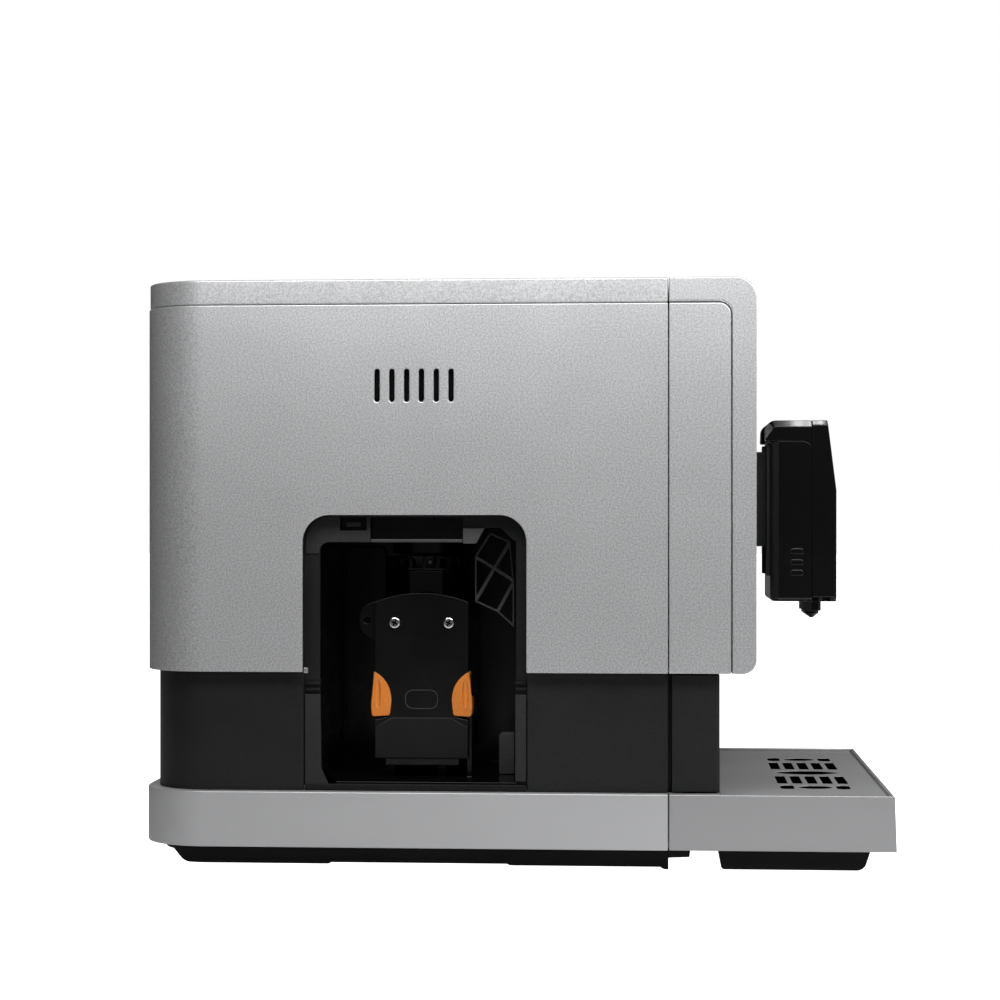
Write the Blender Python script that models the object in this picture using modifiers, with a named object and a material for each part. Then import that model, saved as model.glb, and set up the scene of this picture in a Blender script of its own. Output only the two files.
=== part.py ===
"""A bean-to-cup espresso machine with its service door off and its brew unit in view.

Metres, +Z up. The origin is on the surface it stands on, in the middle of its box.
The front, with the drip tray, is at -Y, and the side with the brew unit is at -X.
"""

import math

import bmesh
import bpy
from mathutils import Matrix, Vector

# Driving dimensions: the whole machine
WIDTH = 0.280
DEPTH = 0.450
HEIGHT = 0.350
WALL = 0.0025
GAP = 0.0003
SLIDE_GAP = 0.0006

# Levels of the casing, from the surface up
PAN_LOW = 0.0020
PAN_INSET = 0.010
FOOT_RADIUS = 0.011
FOOT_FROM_SIDE = 0.060
FOOT_FROM_SEAM = 0.030
TRAY_FOOT_LOW = 0.0015
TRAY_FOOT_INSET = 0.006
BASE_LOW = 0.013
BASE_HIGH = 0.046
SHELL_LOW = 0.117
SKIRT_LAP = 0.008
CAP_DEPTH = 0.0147

# Plan of the casing
TRAY_LENGTH = 0.133
HOOD_DEPTH = 0.0515
BEZEL_DEPTH = 0.0145
GROOVE_RADIUS = 0.007
CORNER_RADIUS = 0.040
SKIRT_INSET = 0.007
BAND_LEDGE = 0.0095
CAP_INSET = 0.0006

# Service opening and brew bay
OPENING_FROM_SEAM = 0.0837
OPENING_WIDTH = 0.133
OPENING_TOP = 0.2102
OPENING_RADIUS = 0.016
REBATE = 0.010
FLANGE_FRONT = 0.0066
FLANGE_REAR = 0.0091
FLANGE_TOP = 0.0163
BAY_DEPTH = 0.135
BAY_WALL = 0.0018
SERVICE_SPACE = 0.062

# Brew unit
BREW_WIDTH = 0.0575
BREW_FROM_SIDE = 0.038
BREW_OFFSET = 0.0007
GUIDE_CLEARANCE = 0.004
BREW_LENGTH = 0.082
PLATE_LOW = 0.0620
PLATE_SHOULDER = 0.1575
PLATE_CROWN = 0.1630
PLATE_THICKNESS = 0.0025
HOUSING_TOP = 0.1510
CYLINDER_RADIUS = 0.0270
CYLINDER_TOP = 0.1855
SLEEVE_RADIUS = 0.0235
BORE_RADIUS = 0.0200
PISTON_TRAVEL = 0.030
LATCH_LOW = 0.0880
LATCH_HIGH = 0.1150
LATCH_REACH = 0.0135
LATCH_TRAVEL = 0.003
LATCH_DEPTH = 0.0110
TAB_LOW = 0.0577
TAB_WIDTH = 0.045
DRIVE_Z = 0.095
DRIVE_RADIUS = 0.0055
RAIL_SPACING = 0.032
GUIDE_THICKNESS = 0.0032
GUIDE_HIGH = 0.1135
SCREW_RADIUS = 0.0035
SCREW_HEAD = 0.0022
SCREW_Z = 0.1448
SCREW_SPACING = 0.033

# Spout
SPOUT_WIDTH = 0.080
SPOUT_TOP = 0.270
SPOUT_LOW = 0.156
SPOUT_STANDOFF = 0.0130
SPOUT_BODY_DEPTH = 0.0263
SPOUT_FRONT_DEPTH = 0.0150
RAIL_WIDTH = 0.048
RAIL_LOW = 0.1905
RAIL_HIGH = 0.2505
NOZZLE_SPACING = 0.028
NOZZLE_FORWARD = 0.0010

# Front controls
DISPLAY_HALF = 0.070
DISPLAY_LOW = 0.286
DISPLAY_HIGH = 0.326
BUTTON_X = 0.075
BUTTON_Z = 0.2605
BUTTON_RADIUS = 0.0075
BUTTON_PROUD = 0.0006

# Mains inlet and power switch, in the rear skirt
INLET_X = -0.055
INLET_Z = 0.085
INLET_HALF = 0.0142
INLET_RISE = 0.0107
SWITCH_X = -0.015
SWITCH_HALF = 0.0065
SWITCH_RISE = 0.0105

# Vents in the sides
VENT_COUNT = 6
VENT_PITCH = 0.0088
VENT_WIDTH = 0.0031
VENT_HEIGHT = 0.0196
VENT_Z = 0.2870

# Bean hopper, grinder and water tank
HOPPER_WIDTH = 0.078
HOPPER_LENGTH = 0.106
HOPPER_LIP = 0.0325
HOPPER_FROM_SEAM = 0.0085
HOPPER_FROM_GRINDER = 0.057
DIAL_FROM_HOPPER = 0.0130
DIAL_RADIUS = 0.0110
DIAL_MARGIN = 0.0135
THROAT = 0.024
GRINDER_RADIUS = 0.038
GRINDER_FROM_SIDE = 0.080
GRINDER_FROM_SEAM = 0.042
MOTOR_RADIUS = 0.028
MOTOR_HEIGHT = 0.085
TANK_LENGTH = 0.1415
TANK_WALL = 0.002
TANK_ROOM = 0.004
DOCK_HEIGHT = 0.0265

# Grate
GRATE_THICKNESS = 0.002
GRATE_DROP = 0.0018
TRAY_WALL = 0.003
SLOT_PITCH = 0.0093
GRATE_FROM_SEAM = 0.0305
TRAY_FROM_OPENING = 0.0042
GRATE_MIDDLE = 0.0433

# Places that follow from the driving dimensions
FOOT_HEIGHT = PAN_LOW - GAP
SIDE = WIDTH / 2
FRONT = -DEPTH / 2
REAR = DEPTH / 2
SEAM = FRONT + TRAY_LENGTH
FACE = SEAM - HOOD_DEPTH
CHEEK = FACE + BEZEL_DEPTH
CAP_LOW = HEIGHT - CAP_DEPTH
SKIRT_SIDE = SIDE - SKIRT_INSET
SKIRT_REAR = REAR - SKIRT_INSET
SHELL_REAR = REAR - CAP_INSET
OPENING_FRONT = SEAM + OPENING_FROM_SEAM
OPENING_REAR = OPENING_FRONT + OPENING_WIDTH
SMALLEST_CORNER = SKIRT_INSET + WALL + TANK_ROOM + 0.002
CORNER = max(min(CORNER_RADIUS, REAR - OPENING_REAR - 0.02), SMALLEST_CORNER)
PANEL_EDGE = SIDE - CORNER - 0.002
BAY_BACK = -SIDE + BAY_DEPTH
FLANGE_X = -SIDE + REBATE
FLOOR_LOW = BASE_HIGH + GAP
FLOOR_HIGH = FLOOR_LOW + WALL
SHELF_LOW = SHELL_LOW + GAP
SHELF_HIGH = SHELF_LOW + WALL
BREW_X = -SIDE + BREW_FROM_SIDE
BREW_Y = OPENING_FRONT + OPENING_WIDTH / 2 - BREW_OFFSET
CYLINDER_X = BREW_X + 0.0420
TANK_LEFT = BAY_BACK + SERVICE_SPACE
TANK_RIGHT = SKIRT_SIDE - WALL - TANK_ROOM
INNER_CORNER = CORNER - SKIRT_INSET - WALL - TANK_ROOM
TANK_CORNER = min(INNER_CORNER, (TANK_RIGHT - TANK_LEFT) * 0.45)
TANK_REAR = SKIRT_REAR - WALL - TANK_ROOM - (INNER_CORNER - TANK_CORNER)
TANK_FRONT = TANK_REAR - TANK_LENGTH
GRINDER_X = -SIDE + GRINDER_FROM_SIDE
GRINDER_Y = SEAM + GRINDER_FROM_SEAM
HOPPER_LEFT = GRINDER_X - HOPPER_FROM_GRINDER
HOPPER_RIGHT = HOPPER_LEFT + HOPPER_WIDTH
HOPPER_FRONT = SEAM + HOPPER_FROM_SEAM
HOPPER_REAR = HOPPER_FRONT + HOPPER_LENGTH
DIAL_X = HOPPER_RIGHT + DIAL_FROM_HOPPER
DIAL_Y = GRINDER_Y
MOTOR_TOP = SHELF_HIGH + GAP + MOTOR_HEIGHT
BURR_FLOOR = MOTOR_TOP + GAP
HOPPER_LOW = BURR_FLOOR + 0.040
SPOUT_REAR = FACE - SPOUT_STANDOFF
SPOUT_SPLIT = SPOUT_REAR - SPOUT_BODY_DEPTH
MOTOR_HIGH = DRIVE_Z + 0.028
TRAY_REAR = OPENING_FRONT - TRAY_FROM_OPENING
GRATE_REAR = SEAM - GRATE_FROM_SEAM

FINISHES = {
    "silver": ((0.42, 0.43, 0.44), 0.42, 0.75),
    "black": ((0.018, 0.019, 0.021), 0.50, 0.0),
    "gloss_black": ((0.008, 0.008, 0.009), 0.12, 0.0),
    "grey": ((0.09, 0.09, 0.095), 0.55, 0.0),
    "orange": ((0.60, 0.22, 0.045), 0.45, 0.0),
    "steel": ((0.62, 0.62, 0.63), 0.25, 1.0),
    "glass": ((0.01, 0.01, 0.012), 0.08, 0.0),
    "clear": ((0.35, 0.38, 0.40), 0.15, 0.0),
    "rubber": ((0.03, 0.03, 0.03), 0.85, 0.0),
    "board": ((0.02, 0.14, 0.06), 0.55, 0.0),
    "hose": ((0.75, 0.74, 0.70), 0.60, 0.0),
}

AXIS_FRAMES = {
    "X": Matrix(((0, 0, 1), (1, 0, 0), (0, 1, 0))).to_4x4(),
    "Y": Matrix(((1, 0, 0), (0, 0, -1), (0, 1, 0))).to_4x4(),
    "Z": Matrix.Identity(4),
}


def clear_scene():
    for old in list(bpy.data.objects):
        bpy.data.objects.remove(old, do_unlink=True)


def collection(name):
    made = bpy.data.collections.new(name)
    bpy.context.scene.collection.children.link(made)
    return made


def add_finish(item, finish):
    """Give the object a Principled material of its own."""
    colour, roughness, metallic = FINISHES[finish]
    made = bpy.data.materials.new(item.name + "_" + finish)
    made.use_nodes = True
    shader = made.node_tree.nodes["Principled BSDF"]
    shader.inputs["Base Color"].default_value = (*colour, 1.0)
    shader.inputs["Roughness"].default_value = roughness
    shader.inputs["Metallic"].default_value = metallic
    made.diffuse_color = (*colour, 1.0)
    item.data.materials.append(made)


def add_mesh(name, shape, finish, origin=(0, 0, 0)):
    """Turn a bmesh in world places into an object with its origin where it is wanted."""
    bmesh.ops.recalc_face_normals(shape, faces=shape.faces)
    if shape.calc_volume(signed=True) < 0:
        bmesh.ops.reverse_faces(shape, faces=shape.faces)
    bmesh.ops.translate(shape, verts=shape.verts, vec=-Vector(origin))
    mesh = bpy.data.meshes.new(name)
    shape.to_mesh(mesh)
    shape.free()
    item = bpy.data.objects.new(name, mesh)
    item.location = origin
    if finish is None:
        CUTTERS.objects.link(item)
        item.hide_render = True
        item.display_type = "WIRE"
    else:
        PARTS.objects.link(item)
        add_finish(item, finish)
        mesh.shade_smooth()
        mesh.set_sharp_from_angle(angle=math.radians(30))
    return item


def box(name, low, high, finish=None, origin=(0, 0, 0), edge=0.0):
    """A block between two corners, with its edges rounded where that is asked for."""
    shape = bmesh.new()
    bmesh.ops.create_cube(shape, size=1.0)
    low, high = Vector(low), Vector(high)
    size = high - low
    bmesh.ops.scale(shape, verts=shape.verts, vec=size)
    bmesh.ops.translate(shape, verts=shape.verts, vec=(low + high) / 2)
    item = add_mesh(name, shape, finish, origin)
    if edge:
        bevel = item.modifiers.new("edge", "BEVEL")
        bevel.width = edge
        bevel.segments = 2
    return item


def tube_frame(axis, centre, along):
    """The matrix that stands a shape made along +Z on an axis, with its middle at a place."""
    place = {"X": (along, *centre), "Y": (centre[0], along, centre[1]), "Z": (*centre, along)}
    return Matrix.Translation(place[axis]) @ AXIS_FRAMES[axis]


def cylinder(
    name, axis, centre, radius, low, high, finish=None, origin=(0, 0, 0), end_radius=None, sides=24
):
    """A cylinder or cone along an axis, its centre given in the two other directions."""
    shape = bmesh.new()
    last = radius if end_radius is None else end_radius
    if axis == "Y":
        radius, last = last, radius
    bmesh.ops.create_cone(
        shape, cap_ends=True, segments=sides, radius1=radius, radius2=last, depth=high - low
    )
    bmesh.ops.transform(
        shape, matrix=tube_frame(axis, centre, (low + high) / 2), verts=shape.verts
    )
    return add_mesh(name, shape, finish, origin)


def turned(name, centre, profile, finish, origin_z=0.0, sides=32):
    """A closed profile of (radius, height) points, turned about an upright axis."""
    mesh = bpy.data.meshes.new(name)
    points = [(radius, 0.0, height - origin_z) for radius, height in profile]
    edges = [(i, (i + 1) % len(points)) for i in range(len(points))]
    mesh.from_pydata(points, edges, [])
    item = bpy.data.objects.new(name, mesh)
    item.location = (*centre, origin_z)
    PARTS.objects.link(item)
    add_finish(item, finish)
    spin = item.modifiers.new("turn", "SCREW")
    spin.axis = "Z"
    spin.steps = sides
    spin.render_steps = sides
    spin.use_merge_vertices = True
    spin.merge_threshold = 0.00001
    return item


def extruded(name, axis, outlines, low, high, finish=None, origin=(0, 0, 0)):
    """A flat outline, with any holes in it, given a thickness along an axis."""
    curve = bpy.data.curves.new(name, "CURVE")
    curve.dimensions = "2D"
    curve.fill_mode = "BOTH"
    curve.extrude = (high - low) / 2
    for outline in outlines:
        spline = curve.splines.new("POLY")
        spline.points.add(len(outline) - 1)
        for point, (across, up) in zip(spline.points, outline):
            point.co = (across, up, 0.0, 1.0)
        spline.use_cyclic_u = True
    guide = bpy.data.objects.new(name + "_guide", curve)
    bpy.context.scene.collection.objects.link(guide)
    graph = bpy.context.evaluated_depsgraph_get()
    mesh = bpy.data.meshes.new_from_object(guide.evaluated_get(graph))
    shape = bmesh.new()
    shape.from_mesh(mesh)
    bmesh.ops.remove_doubles(shape, verts=shape.verts, dist=0.000001)
    bmesh.ops.transform(
        shape, matrix=tube_frame(axis, (0, 0), (low + high) / 2), verts=shape.verts
    )
    bpy.data.objects.remove(guide, do_unlink=True)
    bpy.data.meshes.remove(mesh)
    return add_mesh(name, shape, finish, origin)


def boolean(item, other, operation):
    step = item.modifiers.new(operation.lower(), "BOOLEAN")
    step.operation = operation
    step.object = other
    return item


def cut(item, *cutters):
    for cutter in cutters:
        boolean(item, cutter, "DIFFERENCE")
    return item


def join(item, *helpers):
    for helper in helpers:
        boolean(item, helper, "UNION")
    return item


def arc(centre, radius, start, end, steps):
    """Points along a round corner, angles in degrees."""
    turn = [math.radians(start + (end - start) * i / steps) for i in range(steps + 1)]
    return [(centre[0] + radius * math.cos(t), centre[1] + radius * math.sin(t)) for t in turn]


def circle(centre, radius, steps=16):
    return arc(centre, radius, 0, 360, steps)[:-1]


def rounded(corners, steps=4):
    """An outline through (x, y, radius) corners, with an arc at each that has a radius."""
    outline = []
    for i, (x, y, radius) in enumerate(corners):
        corner = Vector((x, y))
        if radius <= 0:
            outline.append((x, y))
            continue
        before = (Vector(corners[i - 1][:2]) - corner).normalized()
        after = (Vector(corners[(i + 1) % len(corners)][:2]) - corner).normalized()
        half = before.angle(after) / 2
        middle = corner + (before + after).normalized() * (radius / math.sin(half))
        first = corner + before * (radius / math.tan(half)) - middle
        last = corner + after * (radius / math.tan(half)) - middle
        swing = first.angle_signed(last)
        for step in range(steps + 1):
            turn = Matrix.Rotation(-swing * step / steps, 2)
            outline.append(tuple(middle + turn @ first))
    return outline


def rectangle(x_low, x_high, y_low, y_high, radius=0.0, steps=4):
    lower = [(x_low, y_low, radius), (x_high, y_low, radius)]
    upper = [(x_high, y_high, radius), (x_low, y_high, radius)]
    return rounded(lower + upper, steps)


def around(x, y, half, rise, radius=0.0):
    """A rectangle about a point, given its half width and half height."""
    return rectangle(x - half, x + half, y - rise, y + rise, radius)


def slot(centre, width, height, steps=6):
    """An upright or level slot with round ends."""
    radius = min(width, height) / 2
    return rectangle(
        centre[0] - width / 2,
        centre[0] + width / 2,
        centre[1] - height / 2,
        centre[1] + height / 2,
        radius * 0.98,
        steps,
    )


def lens(centre, across, up, steps=8):
    """A pointed oval with its points left and right when across is the longer."""
    half, rise = across / 2, up / 2
    radius = (half * half + rise * rise) / (2 * rise)
    swing = math.degrees(math.asin(min(1.0, half / radius)))
    top = arc((centre[0], centre[1] + rise - radius), radius, 90 - swing, 90 + swing, steps)
    low = arc((centre[0], centre[1] - rise + radius), radius, 270 - swing, 270 + swing, steps)
    return top[:-1] + low[:-1]


def plan_outline(side, rear, front, radius, steps=8):
    """The casing seen from above: square at the front, with round rear corners."""
    radius = max(radius, 0.001)
    left = arc((-side + radius, rear - radius), radius, 180, 90, steps)
    right = arc((side - radius, rear - radius), radius, 90, 0, steps)
    return [(-side, front), *left, *right, (side, front)]


def wrap_outline(side, rear, front, edge, radius, thickness, steps=8):
    """One wall seen from above: along the -X side, round the corner and in to the rear."""
    outer = arc((-side + radius, rear - radius), radius, 180, 90, steps)
    inner = arc((-side + radius, rear - radius), radius - thickness, 90, 180, steps)
    outline = [(-side, front), *outer, (-edge, rear), (-edge, rear - thickness), *inner]
    return [*outline, (-side + thickness, front)]


def mirrored(outline):
    return [(-x, y) for x, y in reversed(outline)]


def arch(front, rear, low, top, radius, steps=6):
    """The service opening's outline from its front foot up, over and down to its rear foot."""
    up = arc((front + radius, top - radius), radius, 180, 90, steps)
    down = arc((rear - radius, top - radius), radius, 90, 0, steps)
    return [(front, low), *up, *down, (rear, low)]


def base_pan():
    """The plastic pan under the machine, with the skids that its feet are stuck to."""
    recess = PAN_LOW + 0.0009
    profile = [
        (SEAM - 0.0130, BASE_LOW - GAP),
        (SEAM - 0.0124, 0.0080),
        (SEAM, 0.0075),
        (SEAM, 0.0006),
        (SEAM + 0.0028, 0.0006),
        (SEAM + 0.0048, PAN_LOW),
        (OPENING_FRONT + 0.0108, PAN_LOW),
        (OPENING_FRONT + 0.0108, recess),
        (OPENING_REAR - 0.0147, recess),
        (OPENING_REAR - 0.0147, PAN_LOW),
        (REAR - 0.0270, PAN_LOW),
        (REAR - 0.0190, 0.0090),
        (REAR - 0.0110, 0.0090),
        (REAR - 0.0110, BASE_LOW - GAP),
    ]
    side = SIDE - PAN_INSET
    pan = extruded("base_pan", "X", [profile], -side, side, "black")
    plan = plan_outline(side, REAR - PAN_INSET, SEAM - 0.02, CORNER - PAN_INSET)
    limit = extruded("pan_limit", "Z", [plan], 0.0, BASE_LOW)
    return boolean(pan, limit, "INTERSECT")


def feet():
    for x_name, x in (("left", -1), ("right", 1)):
        for y_name, y in (("front", SEAM + FOOT_FROM_SEAM), ("rear", REAR - CORNER - 0.010)):
            name = "foot_" + x_name + "_" + y_name
            place = (x * (SIDE - FOOT_FROM_SIDE), y)
            cylinder(name, "Z", place, FOOT_RADIUS, 0.0, FOOT_HEIGHT, "rubber", sides=20)


def base_band():
    """The silver band round the foot of the machine, with a ledge along its top."""
    outer = plan_outline(SIDE, REAR, SEAM + GAP, CORNER)
    inner = plan_outline(SIDE - BAND_LEDGE, REAR - BAND_LEDGE, SEAM + GAP, CORNER - BAND_LEDGE)
    band = extruded("base_band", "Z", [outer + inner[::-1]], BASE_LOW, BASE_HIGH, "silver")
    core = plan_outline(SIDE - WALL, REAR - WALL, SEAM - 0.01, CORNER - WALL)
    hollow = extruded("band_hollow", "Z", [core], 0.0, BASE_HIGH - WALL)
    return cut(band, hollow)


def floor_plate():
    """The steel floor that the brew bay, the pump and the tank dock stand on."""
    side = SKIRT_SIDE - WALL - 0.0005
    rear = SKIRT_REAR - WALL - 0.0005
    plan = plan_outline(side, rear, OPENING_FRONT + GAP, CORNER - SKIRT_INSET - WALL - 0.0005)
    return extruded("floor_plate", "Z", [plan], FLOOR_LOW, FLOOR_HIGH, "steel")


def mid_shelf():
    """The shelf over the grounds container, which carries the grinder and the thermoblock."""
    side = SKIRT_SIDE - WALL - 0.0005
    low = (-side, CHEEK + 0.0005, SHELF_LOW)
    return box("mid_shelf", low, (side, OPENING_FRONT - 0.004, SHELF_HIGH), "steel")


def opening_cutter(name, x_low, x_high):
    outline = arch(OPENING_FRONT, OPENING_REAR, BASE_HIGH - 0.01, OPENING_TOP, OPENING_RADIUS)
    return extruded(name, "X", [outline], x_low, x_high)


def vent_cutter(name, x_low, x_high):
    """Upright slots in a row."""
    middle = OPENING_FRONT + OPENING_WIDTH / 2
    outlines = []
    for i in range(VENT_COUNT):
        across = middle + (i - (VENT_COUNT - 1) / 2) * VENT_PITCH
        outlines.append(slot((across, VENT_Z), VENT_WIDTH, VENT_HEIGHT))
    return extruded(name, "X", outlines, x_low, x_high)


def side_panels():
    """The two silver sides, which turn the rear corners."""
    wall = wrap_outline(SIDE, SHELL_REAR, SEAM + GAP, PANEL_EDGE + GAP, CORNER, WALL)
    high = CAP_LOW - GAP
    left = extruded("left_panel", "Z", [wall], SHELL_LOW, high, "silver")
    right = extruded("right_panel", "Z", [mirrored(wall)], SHELL_LOW, high, "silver")
    cut(left, opening_cutter("left_opening", -SIDE - 0.005, -SIDE + WALL + 0.005))
    cut(left, vent_cutter("left_vents", -SIDE - 0.005, -SIDE + WALL + 0.005))
    cut(right, vent_cutter("right_vents", SIDE - WALL - 0.005, SIDE + 0.005))


def rear_panel():
    low = (-PANEL_EDGE, SHELL_REAR - WALL, SHELL_LOW)
    return box("rear_panel", low, (PANEL_EDGE, SHELL_REAR, CAP_LOW - GAP), "silver")


def skirts():
    """The set-back black walls between the silver base and the silver shell."""
    low, high = FLOOR_LOW, SHELL_LOW + SKIRT_LAP
    radius = CORNER - SKIRT_INSET
    edge = PANEL_EDGE + GAP
    right = wrap_outline(SKIRT_SIDE, SKIRT_REAR, SEAM + GAP, edge, radius, WALL)
    extruded("skirt_right", "Z", [mirrored(right)], low, high, "black")
    left = wrap_outline(SKIRT_SIDE, SKIRT_REAR, OPENING_REAR + GAP, edge, radius, WALL)
    extruded("skirt_left_rear", "Z", [left], low, high, "black")
    front_low = (-SKIRT_SIDE, SEAM + GAP, low)
    box("skirt_left_front", front_low, (-SKIRT_SIDE + WALL, OPENING_FRONT - GAP, high), "black")
    rear_low = (-PANEL_EDGE, SKIRT_REAR - WALL, low)
    rear = box("skirt_rear", rear_low, (PANEL_EDGE, SKIRT_REAR, high), "black")
    through = (SKIRT_REAR - 0.01, SKIRT_REAR + 0.01)
    inlet = around(INLET_X, INLET_Z, INLET_HALF, INLET_RISE, 0.003)
    switch = around(SWITCH_X, INLET_Z, SWITCH_HALF, SWITCH_RISE)
    cut(rear, extruded("rear_holes", "Y", [inlet, switch], *through))


def mains_inlet():
    """The socket that takes the mains lead, with its three pins left to the lead's own standard."""
    rear = SKIRT_REAR
    outline = around(INLET_X, INLET_Z, INLET_HALF - GAP, INLET_RISE - GAP, 0.003)
    body = extruded("mains_inlet", "Y", [outline], rear - 0.022, rear, "black")
    hollow = around(INLET_X, INLET_Z, INLET_HALF - 0.0020, INLET_RISE - 0.0022, 0.002)
    return cut(body, extruded("inlet_hollow", "Y", [hollow], rear - 0.018, rear + 0.01))


def power_switch():
    """A rocker that tips about a level axis."""
    pivot = (SWITCH_X, SKIRT_REAR - 0.0035, INLET_Z)
    half, rise = SWITCH_HALF - 0.0005, SWITCH_RISE - 0.0010
    low = (SWITCH_X - half, SKIRT_REAR - 0.0070, INLET_Z - rise)
    high = (SWITCH_X + half, SKIRT_REAR + 0.0005, INLET_Z + rise)
    return box("power_switch", low, high, "black", pivot)


def hopper_opening(margin):
    """Where the bean lid lies, over the hopper and the grind dial beside it."""
    right = DIAL_X + DIAL_MARGIN + margin
    return (HOPPER_LEFT - margin, right, HOPPER_FRONT - margin, HOPPER_REAR + margin)


def tank_outline(margin):
    """The tank from above: its outer rear corner keeps clear of the casing's round corner."""
    return rounded(
        [
            (TANK_LEFT - margin, TANK_FRONT - margin, 0.006),
            (TANK_RIGHT + margin, TANK_FRONT - margin, 0.006),
            (TANK_RIGHT + margin, TANK_REAR + margin, TANK_CORNER + margin),
            (TANK_LEFT - margin, TANK_REAR + margin, 0.006),
        ],
        5,
    )


def top_cover():
    """The silver cap, with openings for the bean lid and for the water tank."""
    side, rear = SIDE - CAP_INSET, SHELL_REAR - CAP_INSET
    plan = plan_outline(side, rear, SEAM + GAP, CORNER - CAP_INSET)
    cover = extruded("top_cover", "Z", [plan], CAP_LOW, HEIGHT, "silver")
    inside = plan_outline(side - WALL, rear - WALL, SEAM + GAP + WALL, CORNER - CAP_INSET - WALL)
    cut(cover, extruded("cover_hollow", "Z", [inside], CAP_LOW - 0.01, HEIGHT - WALL))
    openings = [rectangle(*hopper_opening(GAP)), tank_outline(SLIDE_GAP)]
    return cut(cover, extruded("cover_openings", "Z", openings, HEIGHT - 0.01, HEIGHT + 0.01))


def front_bezel():
    """The silver front: a shell with a face, a top and two edges, open behind."""
    profile = rounded(
        [
            (FACE, SHELL_LOW, 0.008),
            (FACE, HEIGHT, 0.012),
            (SEAM - GAP, HEIGHT, 0.0),
            (SEAM - GAP, CAP_LOW, 0.0),
            (CHEEK, CAP_LOW, GROOVE_RADIUS),
            (CHEEK, SHELL_LOW, 0.0),
        ],
        6,
    )
    bezel = extruded("front_bezel", "X", [profile], -SIDE, SIDE, "silver")
    hollow = rounded(
        [
            (FACE + WALL, SHELL_LOW + WALL, 0.0055),
            (FACE + WALL, HEIGHT - WALL, 0.0095),
            (SEAM - WALL, HEIGHT - WALL, 0.0),
            (SEAM - WALL, CAP_LOW - 0.01, 0.0),
            (CHEEK + 0.01, CAP_LOW - 0.01, 0.0),
            (CHEEK + 0.01, SHELL_LOW + WALL, 0.0),
        ],
        6,
    )
    cut(bezel, extruded("bezel_hollow", "X", [hollow], -SIDE + WALL, SIDE - WALL))
    half = DISPLAY_HALF + GAP
    window = rectangle(-half, half, DISPLAY_LOW - GAP, DISPLAY_HIGH + GAP, 0.003)
    cut(bezel, extruded("display_pocket", "Y", [window], FACE - 0.01, FACE + 0.0015))
    holes = [circle((x, BUTTON_Z), BUTTON_RADIUS + GAP) for x in (-BUTTON_X, BUTTON_X)]
    return cut(bezel, extruded("button_holes", "Y", holes, FACE - 0.01, FACE + 0.01))


def front_controls():
    """The display glass, two push buttons and the board behind them."""
    glass = rectangle(-DISPLAY_HALF, DISPLAY_HALF, DISPLAY_LOW, DISPLAY_HIGH, 0.003)
    extruded("display_glass", "Y", [glass], FACE, FACE + 0.0012, "glass")
    for name, x in (("button_left", -BUTTON_X), ("button_right", BUTTON_X)):
        origin = (x, FACE, BUTTON_Z)
        low, high = FACE - BUTTON_PROUD, FACE + 0.0042
        cylinder(name, "Y", (x, BUTTON_Z), BUTTON_RADIUS, low, high, "silver", origin, sides=32)
    board_low = (-0.092, FACE + 0.0062, BUTTON_Z - 0.015)
    box("control_board", board_low, (0.092, FACE + 0.0078, DISPLAY_HIGH + 0.006), "board")


def cheeks():
    """The plates that close the sides between the bezel and the seam."""
    outline = rounded(
        [
            (CHEEK + GAP, SHELL_LOW, 0.0),
            (SEAM - GAP, SHELL_LOW, 0.0),
            (SEAM - GAP, CAP_LOW - GAP, 0.0),
            (CHEEK + GAP, CAP_LOW - GAP, GROOVE_RADIUS),
        ],
        6,
    )
    extruded("cheek_left", "X", [outline], -SIDE, -SIDE + WALL, "silver")
    extruded("cheek_right", "X", [outline], SIDE - WALL, SIDE, "silver")


def door_frame():
    """The rebate that the service door closes on, with a flange round the bay."""
    lap = 0.002
    shoulder = SHELL_LOW + SKIRT_LAP + 0.0005
    outer = arch(OPENING_FRONT - lap, OPENING_REAR + lap, shoulder, OPENING_TOP + lap, OPENING_RADIUS + lap)
    inner = arch(OPENING_FRONT, OPENING_REAR, shoulder, OPENING_TOP, OPENING_RADIUS)
    front, rear = OPENING_FRONT + FLANGE_FRONT, OPENING_REAR - FLANGE_REAR
    low, top = FLOOR_HIGH + GAP, OPENING_TOP - FLANGE_TOP
    rim = arch(OPENING_FRONT - lap, OPENING_REAR + lap, low, OPENING_TOP + lap, OPENING_RADIUS + lap)
    hole = arch(front, rear, low, top, 0.005)
    frame = extruded("door_frame", "X", [rim + hole[::-1]], FLANGE_X, FLANGE_X + WALL, "black")
    ring = extruded("rebate_ring", "X", [outer + inner[::-1]], -SIDE + WALL + GAP, FLANGE_X + 0.001)
    join(frame, ring)
    window = rectangle(rear - 0.0280, rear - 0.0120, OPENING_TOP - 0.0090, OPENING_TOP - 0.0015)
    return cut(frame, extruded("latch_window", "X", [window], FLANGE_X - 0.005, FLANGE_X + 0.005))


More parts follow.
